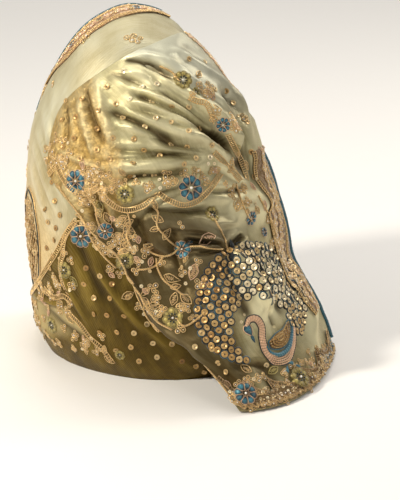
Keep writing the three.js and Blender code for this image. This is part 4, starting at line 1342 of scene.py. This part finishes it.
# The peacock: a fan of sequins round a corded body, in pixels of the frame.
# ground is the radius of the near-black disc under each sequin, a painted shadow.
peacock = dict(centre=(257, 327), minGap=5.7, sequin=2.66, ground=3.5, ring=1.13, cord=0.62, nightShare=0.7,
               spans=[  # degrees, nearest and furthest
                   (-6, 33, 44), (10, 34, 47), (30, 32, 54), (48, 31, 64), (66, 31, 74), (84, 30, 81),
                   (100, 30, 83), (116, 30, 80), (132, 28, 74), (150, 26, 66), (166, 24, 61), (180, 23, 58),
                   (196, 24, 52), (214, 26, 44), (236, 29, 38), (252, 30, 35)])
bird = dict(
    head=(249, 331),
    neck=[(246, 327), (249, 320), (256, 319), (261, 326), (262, 339), (266, 352), (275, 360), (286, 358),
          (292, 346), (294, 328)],
    neckWidth=[0.5, 0.9, 1.2, 1.2, 1.3, 1.5, 1.6, 1.4, 1.1, 0.4], neckSpread=2.1, neckCords=5,
    wingMiddle=(279, 338),
    wing=[(268, 342), (275, 334), (282, 329), (288, 320), (290, 331), (287, 343), (279, 349), (270, 348)],
    wingPoints=36, wingRings=(0.86, 0.66, 0.46, 0.26), wingBead=0.72, wingRise=1.3,
    bar=[(266, 346), (271, 353), (279, 355), (287, 349), (291, 337), (292, 324)],
    feet=[(290, 363, -20), (297, 366, -35), (287, 369, 230)],  # the last value is its angle in degrees
    crest=[(241, 322), (244, 315)])


def sewTail():
    for point, normal in fanArea(peacock["centre"], peacock["spans"], peacock["minGap"]):
        place = frameAt((point, normal))
        u, v = toPixel(point)
        # Painted light: sequins at the upper right of the tail are drawn paler as if lit, those to the left
        # and lower darker as if in shade.
        litTint = 0.36 + 0.62 * ease((u - 222) / 30) * ease((352 - v) / 60) * chance.uniform(0.4, 1.1)
        sequin(place, (0, 0), peacock["sequin"], litTint, 0.14)
        # A near-black disc under each sequin: painted shadow between the sequins. The cord ring round it is
        # outline thread; its near-black share is partly painted shadow.
        dome(night, place, oval(12, peacock["ground"]), 0.12, 0.1, 1)
        bag = night if chance.random() < peacock["nightShare"] else teal
        rim = oval(12, peacock["sequin"] * peacock["ring"])
        laidLoop(bag, place, rim, peacock["cord"], 0.15, 0.05, sides=3)


def sewNeck():
    for points, normals in laidLine(bird["neck"], 0.7):
        side = unit(np.cross(unit(np.gradient(points, axis=0)), normals))
        widths = bird["neckWidth"]
        width = np.interp(np.linspace(0, 1, len(points)), np.linspace(0, 1, len(widths)), widths)
        reach = width * bird["neckSpread"]
        for k in np.linspace(-1, 1, bird["neckCords"]):
            lane = points + side * (reach * k)[:, None] + normals * (0.7 - 0.5 * k * k)
            stitch = np.sin(np.arange(len(points)) * 2.2 + 1.5 * k)
            tube(blush, lane, normals, 0.6 + 0.22 * stitch, np.clip(0.85 + 0.4 * stitch, 0, 1), 5)
        for k in (-1, 1):
            tube(night, points + side * (reach + 0.9)[:, None] * k + normals * 0.3, normals, 0.5, 0.3, 4)


def sewWing():
    middle = frameAt(placeAt(*bird["wingMiddle"]))
    corners = filter(None, (seenAt(u, v) for u, v in bird["wing"]))
    shape = [((p - middle[0]) @ middle[2], (p - middle[0]) @ middle[3]) for p, n in corners]
    outline = smoothLine(shape + shape[:1], bird["wingPoints"] + 1)[:-1]
    dome(copper, middle, outline, bird["wingRise"], 0.1, 4)
    laidLoop(teal, middle, outline * 1.03, 0.55, 0.5, 0.7)
    for ring in bird["wingRings"]:
        rise = bird["wingRise"] * (1 - ring ** 2) ** 0.5
        for k in range(0, bird["wingPoints"], 1 if ring > 0.6 else 2):
            bead(sequins, middle, outline[k] * ring, bird["wingBead"], chance.uniform(0.2, 0.6), rise)


def sewPeacock():
    sewTail()
    sewNeck()
    head = frameAt(placeAt(*bird["head"]))
    dome(teal, head, petalAt(petalShape, -4.2, 9.4, 3.9, radians(112)), 1.5, 0.35)
    dome(teal, head, petalAt(leafShape, 2.0, 8.5, 1.6, radians(-74)), 0.9, 0.12)  # the beak
    laidLoop(blush, head, petalAt(petalShape, -4.6, 10.2, 4.3, radians(112)), 0.35, 0.9)
    bead(beads, head, (0.2, 0.8), 1.0, 1.0)
    for u, v in bird["crest"]:
        sequin(frameAt(placeAt(u, v)), radius=1.3, tint=0.9)
    sewWing()
    for points, normals in laidLine(bird["bar"], 0.7):
        swell = 0.5 + 1.7 * np.sin(np.linspace(0.2, pi - 0.1, len(points))) ** 1.3
        stitch = 0.92 + 0.14 * np.sin(np.arange(len(points)) * 1.7)
        tube(teal, points + normals * 0.5, normals, swell * stitch, 0.55, 7)
    for u, v, angle in bird["feet"]:
        dome(teal, frameAt(placeAt(u, v)), petalAt(petalShape, -3.4, 7.6, 2.1, radians(angle)), 1.2, 0.55)


borderLook = dict(metallic=0.3, sheen=0.2, cord=paint(252, 224, 186), gap=paint(158, 112, 76),
                  ground=paint(72, 56, 22), strand=paint(176, 140, 86))


# Dense metal-thread stitching: small coiled cells in copper and gold.
def borderWork():
    made = Finish("border_work", Metallic=borderLook["metallic"], Sheen_Weight=borderLook["sheen"])
    place = made.ownPlace()
    cells = made.node("ShaderNodeTexVoronoi", Vector=place, Scale=430).outputs["Distance"]
    strands = made.noise(place, 1400, Detail=3)
    coils = made.ramp(cells, (0.1, borderLook["cord"]), (0.62, borderLook["gap"]))
    ground = made.blend(made.attribute("tint"), borderLook["ground"], coils)
    made.feed("Base Color", made.blend(made.times(strands, 0.5), ground, borderLook["strand"]))
    made.raised(made.less(made.times(strands, 0.4), cells), 0.0009, 0.9)
    made.feed("Roughness", made.plus(made.times(strands, 0.3), 0.25))
    return made.material


stitched = borderWork()
borders = dict(lift=1.3, thickness=0.8, wrapAlong=(5 / 48, 26 / 48),
               wrapStations=[0.1, 0.3, 0.41, 0.48, 0.55, 0.6], wrapInner=[0.9, 0.9, 0.64, 0.64, 0.83, 0.83],
               palluDown=(14 / 40, 35 / 40), palluAcross=(28 / 32, 0.985),
               hemFrom=0.94, hemTo=0.985, hemLeft=0.02, hemRight=0.96, scallops=5, scallopDepth=0.03,
               points=24, pointDepth=0.012, pipingRadius=1.6, relief=0.22)


# Across the wrap at a share of its border, which is widest over the top.
def wrapBandAcross(along, share):
    return mix(atStation(borders["wrapStations"], borders["wrapInner"], along), 1, share)


def strip(name, node, grid, downs, acrosses, tint, wave=None, wideAcross=None):
    down, across = np.meshgrid(downs, acrosses, indexing="ij")
    if wave:
        down, across = wave(down, across), hemAcross(across)
    if wideAcross:
        across = wideAcross(down, across)
    points, _ = onGrid(grid, down, across, borders["lift"])
    points = withLift(points, borders["relief"] * rough(points, 2.2, 2, 6.0))
    made = shell(name, points, borders["thickness"], stitched, {"tint": np.full(down.shape, tint)})
    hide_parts(node)
    return made, points


def piping(name, node, grid, downs):
    edge, normals = onGrid(grid, downs, np.ones(len(downs)))
    inside, _ = onGrid(grid, downs, np.full(len(downs), 0.97))
    bag = Bag()
    centre = edge + unit(edge - inside) * (borders["pipingRadius"] - 0.4) + normals * 0.7
    centre[:, 2] = np.maximum(centre[:, 2], borders["pipingRadius"] + 0.3)
    points, normals = evened(centre, normals, 0.8)
    ply = np.sin(np.arange(len(points)) * 1.9)
    tube(bag, points, normals, borders["pipingRadius"] * (1 + 0.04 * ply), 0.35 + 0.12 * ply, 9)
    made = bag.build(name, threads["teal"], "teal_piping")
    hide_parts(node)
    return made


def hemLine(across, edge):
    start, depth, count = (borders[key] for key in {
        "top": ("hemFrom", "scallopDepth", "scallops"), "free": ("hemTo", "pointDepth", "points")}[edge])
    return start + depth * np.abs(np.sin(pi * count * across))


def hemAcross(share):
    return mix(borders["hemLeft"], borders["hemRight"], share)


def makeBorders():
    wrapDowns = np.linspace(*borders["wrapAlong"], 200)
    made = [
        strip("outer_wrap_border_work", "outer_wrap_border", wrapOuter, wrapDowns,
              np.linspace(0, 0.985, 16), 0.9, wideAcross=wrapBandAcross),
        strip("pallu_selvedge_border_work", "pallu_selvedge_border", palluOuter,
              np.linspace(*borders["palluDown"], 260), np.linspace(*borders["palluAcross"], 14), 0.2),
        # The hem's stitched border is given a low tint: painted shade, as the hem lies low in the drape's
        # shade.
        strip("pallu_hem_border_work", "pallu_hem_border", palluOuter, np.linspace(0, 1, 12),
              np.linspace(0, 1, 360), 0.05,
              lambda down, across: mix(hemLine(across, "top"), hemLine(across, "free"), down)),
        piping("outer_wrap_piping_cord", "outer_wrap_piping", wrapOuter, wrapDowns),
        piping("pallu_piping_cord", "pallu_piping", palluOuter, np.linspace(14 / 40, 39 / 40, 200))]
    (wrapBorder, _), (selvedge, _), (hem, _), wrapPiping, palluPiping = made
    return [points for _, points in made[:3]], [wrapBorder, wrapPiping], [selvedge, hem, palluPiping]


trims = dict(cordWidth=2.6, rungEvery=2.0, step=0.9, fineStep=0.6, posy=4.4, hemPosy=3.6, topPosy=4.2,
             wrapCords=(0.05, 0.5, 0.95), wrapMotifs=64, wrapWide=0.32, wrapRows=(0.27, 0.73), wrapFlower=7,
             palluCords=(0.878, 0.965), palluMotifs=44, palluRows=(0.905, 0.935), palluSequins=0.952,
             hemRows=(0.962, 0.974), hemInset=0.014, hemClear=12, hemDense=18,
             topMotifs=26, topRows=(0.935, 0.962))


# A run of cord down a stretch of cloth, raised off it.
def cordAlong(grid, downs, across, step, lift):
    points, normals = gridRun(grid, downs, across, step)
    return points + normals * lift, normals


def spotOn(grid, down, across, lift):
    return onGrid(grid, np.array(down), np.array(across), lift)


def trimWrapBorder():
    first, last = borders["wrapAlong"]
    downs = np.linspace(first, last, 240)
    for share in trims["wrapCords"]:
        run = cordAlong(wrapOuter, downs, wrapBandAcross(downs, share), trims["step"], 1.0)
        ladder(copper, run, trims["cordWidth"], trims["rungEvery"])
    tube(teal, *cordAlong(wrapOuter, np.linspace(0.3, 0.53, 120), np.full(120, 0.9), trims["fineStep"], 2.2),
         0.8, 0.3, 7)
    for k, along in enumerate(np.linspace(first + 0.01, last - 0.01, trims["wrapMotifs"])):
        for share in trims["wrapRows"] if along > trims["wrapWide"] else (0.5,):
            place = frameAt(spotOn(wrapOuter, along, wrapBandAcross(np.array(along), share), 1.0))
            if k % 7 == 2 and share < 0.5:
                flower(place, trims["wrapFlower"], olive if k % 2 else teal, blush, 6)
            else:
                posy(place, trims["posy"], k * 0.9, blush if k % 3 else copper, 3)


def trimPalluBorder():
    first, last = borders["palluDown"]
    downs = np.linspace(first, last, 220)
    for across in trims["palluCords"]:
        run = cordAlong(palluOuter, downs, np.full(len(downs), across), trims["step"], 1.0)
        ladder(copper, run, trims["cordWidth"], trims["rungEvery"])
    for k, down in enumerate(np.linspace(first + 0.01, last - 0.01, trims["palluMotifs"])):
        for across in trims["palluRows"]:
            bag = copper if (k + int(100 * across)) % 3 else blush
            posy(frameAt(spotOn(palluOuter, down, across, 1.2)), trims["posy"], k * 1.3 + across * 60, bag, 3)
        if k % 2:
            sequin(frameAt(spotOn(palluOuter, down, trims["palluSequins"], 1.3)), radius=1.3, tint=0.85)


def trimHem():
    # Painted shade: the hem's cords, points and posies take lower tints than the same work higher up.
    for scallop in range(borders["scallops"]):
        share = np.linspace(scallop, scallop + 1, 60) / borders["scallops"]
        run = cordAlong(palluOuter, hemLine(share, "top"), hemAcross(share), trims["fineStep"], 1.2)
        ladder(copper, run, 3.2, 1.8, 0.36)
    for point in range(borders["points"]):
        share = np.linspace(point, point + 1, 24) / borders["points"]
        free = hemLine(share, "free") - 0.004
        twist(copper, cordAlong(palluOuter, free, hemAcross(share), trims["fineStep"], 1.2), 0.6, tint=0.4)
        middle = (point + 0.5) / borders["points"]
        down = hemLine(middle, "free") - trims["hemInset"]
        place = frameAt(spotOn(palluOuter, down, hemAcross(middle), 1.2))
        if openSpot(*toPixel(place[0]), trims["hemClear"]):
            posy(place, trims["posy"], point, copper, 3, 0.1)
        for k, down in enumerate(trims["hemRows"]):
            across = hemAcross((point + 0.5 * k) / borders["points"])
            place = frameAt(spotOn(palluOuter, down, across, 1.2))
            if openSpot(*toPixel(place[0]), trims["hemClear"]):
                sequin(place, radius=1.35, tint=0.95)
                if point > trims["hemDense"]:
                    posy(place, trims["hemPosy"], point + k, (copper, teal)[k], 3, 0.4)


def trimBorders():
    trimWrapBorder()
    trimPalluBorder()
    trimHem()
    twist(copper, gridRun(palluOuter, np.linspace(0.16, 0.97, 260), np.full(260, 0.008), 0.6), 0.5, 3.0, 0.6)
    # The pallu's border begins at the top, where this edge turns over the ridge.
    topEdge = cordAlong(palluOuter, np.linspace(0.01, 0.36, 200), np.full(200, 0.985), trims["fineStep"], 0.4)
    tube(teal, *topEdge, 0.9, 0.3, 7)
    for k, down in enumerate(np.linspace(0.012, 0.2, trims["topMotifs"])):
        for across in trims["topRows"]:
            place = frameAt(spotOn(palluOuter, down, across, 0.2))
            posy(place, trims["topPosy"], k * 1.1, blush if k % 3 else copper, 3)
sideWork = dict(tailRim=(44, 264), tailTurn=17, step=6.0, tall=36, wide=22, sequin=2.75, clear=52,
                wrapRows=26, wrapColumns=7, bodyColumns=34, bodyRows=6, cordRadius=0.8, edgeSequin=1.9)


# A second peacock's tail on the left side, its near edge just in view.
def sewSecondTail():
    rim = placeAt(*sideWork["tailRim"])
    bearing, share = placeInView(rim[0][0], rim[0][2])
    turn = np.degrees(np.arcsin(min(1, share) ** (squareness(bearing, True) / 2))) + sideWork["tailTurn"]
    centre = overRidgeAt(np.array(bearing), np.array(turn))
    centre = movedOut(centre[None], np.array([2.0]))[0]
    normal = unit(movedOut(centre[None], np.array([1.0]))[0] - centre)
    place = frameAt((centre, normal))
    step, tall, wide = sideWork["step"], sideWork["tall"], sideWork["wide"]
    for row in range(-7, 8):
        for column in range(-5, 6):
            a, b = (column + 0.5 * (row % 2)) * step, row * step * 0.87
            if (a / wide) ** 2 + (b / tall) ** 2 < 1:
                sequin(place, (a, b), sideWork["sequin"], 0.35 + 0.1 * (row % 3), 0.12)
    for grow, radius, bag, tint in ((1.12, 0.6, night, 0.2), (1.2, 0.5, copper, 0.8)):
        laidLoop(bag, place, oval(72, wide * grow, tall * grow), radius, tint, 0.5)
    return centre


def sewHiddenSides():
    tailCentre = sewSecondTail()
    # Rows of sequins and small posies over the wrap where it turns away.
    for i, along in enumerate(np.linspace(0.04, 0.95, sideWork["wrapRows"])):
        for j, across in enumerate(np.linspace(0.12, 0.78, sideWork["wrapColumns"])):
            point, normal = spotOn(wrapOuter, along, across + 0.045 * (i % 2), 0.0)
            if normal @ backWay > 0.1 or np.linalg.norm(point - tailCentre) < sideWork["clear"]:
                continue
            spot = frameAt((point, normal))
            if (i + 2 * j) % 5 == 0:
                leaf(spot, 9, 0.8 * i + j, copper)
                posy(spot, 5, i, copper, 3)
            elif (i * 3 + j) % 11 == 4:
                flower(spot, 13, teal if i % 2 else olive, copper)
            else:
                sequin(spot, tint=0.5, lean=0.2)
    # The lower body's sides and back.
    for i, across in enumerate(np.linspace(0.02, 0.98, sideWork["bodyColumns"])):
        for down in np.linspace(0.16, 0.88, sideWork["bodyRows"]):
            point, normal = spotOn(bodyOuter, down + 0.07 * (i % 2), across, 0.0)
            if normal @ backWay < 0.3 and point[2] > 6:
                sequin(frameAt((point, normal)), tint=0.45, lean=0.2)
    ladder(copper, gridRun(bodyOuter, np.full(200, 0.04), np.linspace(0.01, 0.5, 200), 0.7))
    # The folded edges at the back carry the same corded selvedge.
    for row, columns in layerEdges:
        points, normals = evened(hiddenOuter[row, columns], hiddenNormals[row, columns], 2.0)
        swell = 0.12 * np.sin(np.arange(len(points)) * 1.4)
        tube(copper, points + normals * 0.3, normals, sideWork["cordRadius"] + swell, 0.6, 4)
        for place in zip(points[6::12], normals[6::12]):
            sequin(frameAt(place), radius=sideWork["edgeSequin"], tint=0.5)
strips, onWrap, onPallu = makeBorders()
cloth = clothTree(wrapOuter, bodyOuter, palluOuter, hiddenOuter, *strips)
print("borders laid")
sewAll()
sewPeacock()
trimBorders()
sewHiddenSides()
sewn = [bag.build(name + "_embroidery", threads[name], "teal_piping" if bag is teal else "embroidery")
        for name, bag in zip(threads, (copper, teal, olive, blush, night))]
sewn += [sequins.build("sequins", metal, "embroidery"), beads.build("pearl_beads", pearl, "embroidery")]
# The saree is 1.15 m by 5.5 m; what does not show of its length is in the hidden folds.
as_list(onWrap)
print("embroidery sewn")


room = dict(floorSize=12, floorPlace=(0, 2, 0), floorTones=(paint(240, 238, 236), paint(232, 228, 222)),
            floorRoughness=0.6, air=(1.0, 0.97, 0.92, 1), airStrength=0.24, aim=(0, 0, 0.12),
            farAim=(0, 3.2, 0), lamps=[  # name, place, size, power, colour
                ("key", (-0.85, -0.5, 0.92), 0.16, 16, (1.0, 0.94, 0.82)),
                ("front", (1.0, -1.25, 0.75), 0.4, 5.0, (1.0, 0.96, 0.9)),
                ("rim", (0.75, 0.55, 0.85), 0.35, 5, (1.0, 0.95, 0.88)),
                ("over", (-0.1, 0.35, 1.2), 0.5, 3.5, (1.0, 0.98, 0.93)),
                ("far", (0.0, 2.6, 2.4), 2.4, 32, (1.0, 0.98, 0.94))])


def makeFloor():
    made = Finish("pale_floor", Roughness=room["floorRoughness"])
    grain = made.noise(made.ownPlace(), 60, Detail=4)
    made.feed("Base Color", made.blend(made.times(grain, 0.12), *room["floorTones"]))
    bpy.ops.mesh.primitive_plane_add(size=room["floorSize"], location=room["floorPlace"])
    floor = bpy.context.object
    floor.name = "floor"
    floor.data.materials.append(made.material)


def makeLight():
    world = bpy.data.worlds.new("soft_room")
    world.use_nodes = True
    air = world.node_tree.nodes["Background"].inputs
    air[0].default_value, air[1].default_value = room["air"], room["airStrength"]
    bpy.context.scene.world = world
    bpy.context.scene.view_settings.view_transform = "Standard"
    for name, place, size, power, colour in room["lamps"]:
        data = bpy.data.lights.new(name, "AREA")
        data.size, data.energy, data.color = size, power, colour
        lamp = bpy.data.objects.new(name, data)
        lamp.location = place
        target = Vector(room["farAim"] if name == "far" else room["aim"])
        lamp.rotation_euler = (target - Vector(place)).to_track_quat("-Z", "Y").to_euler()
        bpy.context.scene.collection.objects.link(lamp)


def makeCamera():
    data = bpy.data.cameras.new("camera")
    data.sensor_width = view["sensor"]
    data.lens = view["sensor"] * view["distance"] / (view["height"] * view["mmPerPixel"])
    data.clip_start, data.clip_end = 0.1, 50
    camera = bpy.data.objects.new("camera", data)
    camera.location = Vector((cameraPoint + frameShift) * metre)
    camera.rotation_euler = Vector(-backWay).to_track_quat("-Z", "Y").to_euler()
    bpy.context.scene.collection.objects.link(camera)
    bpy.context.scene.camera = camera


makeFloor()
makeLight()
makeCamera()
print("stage ready")
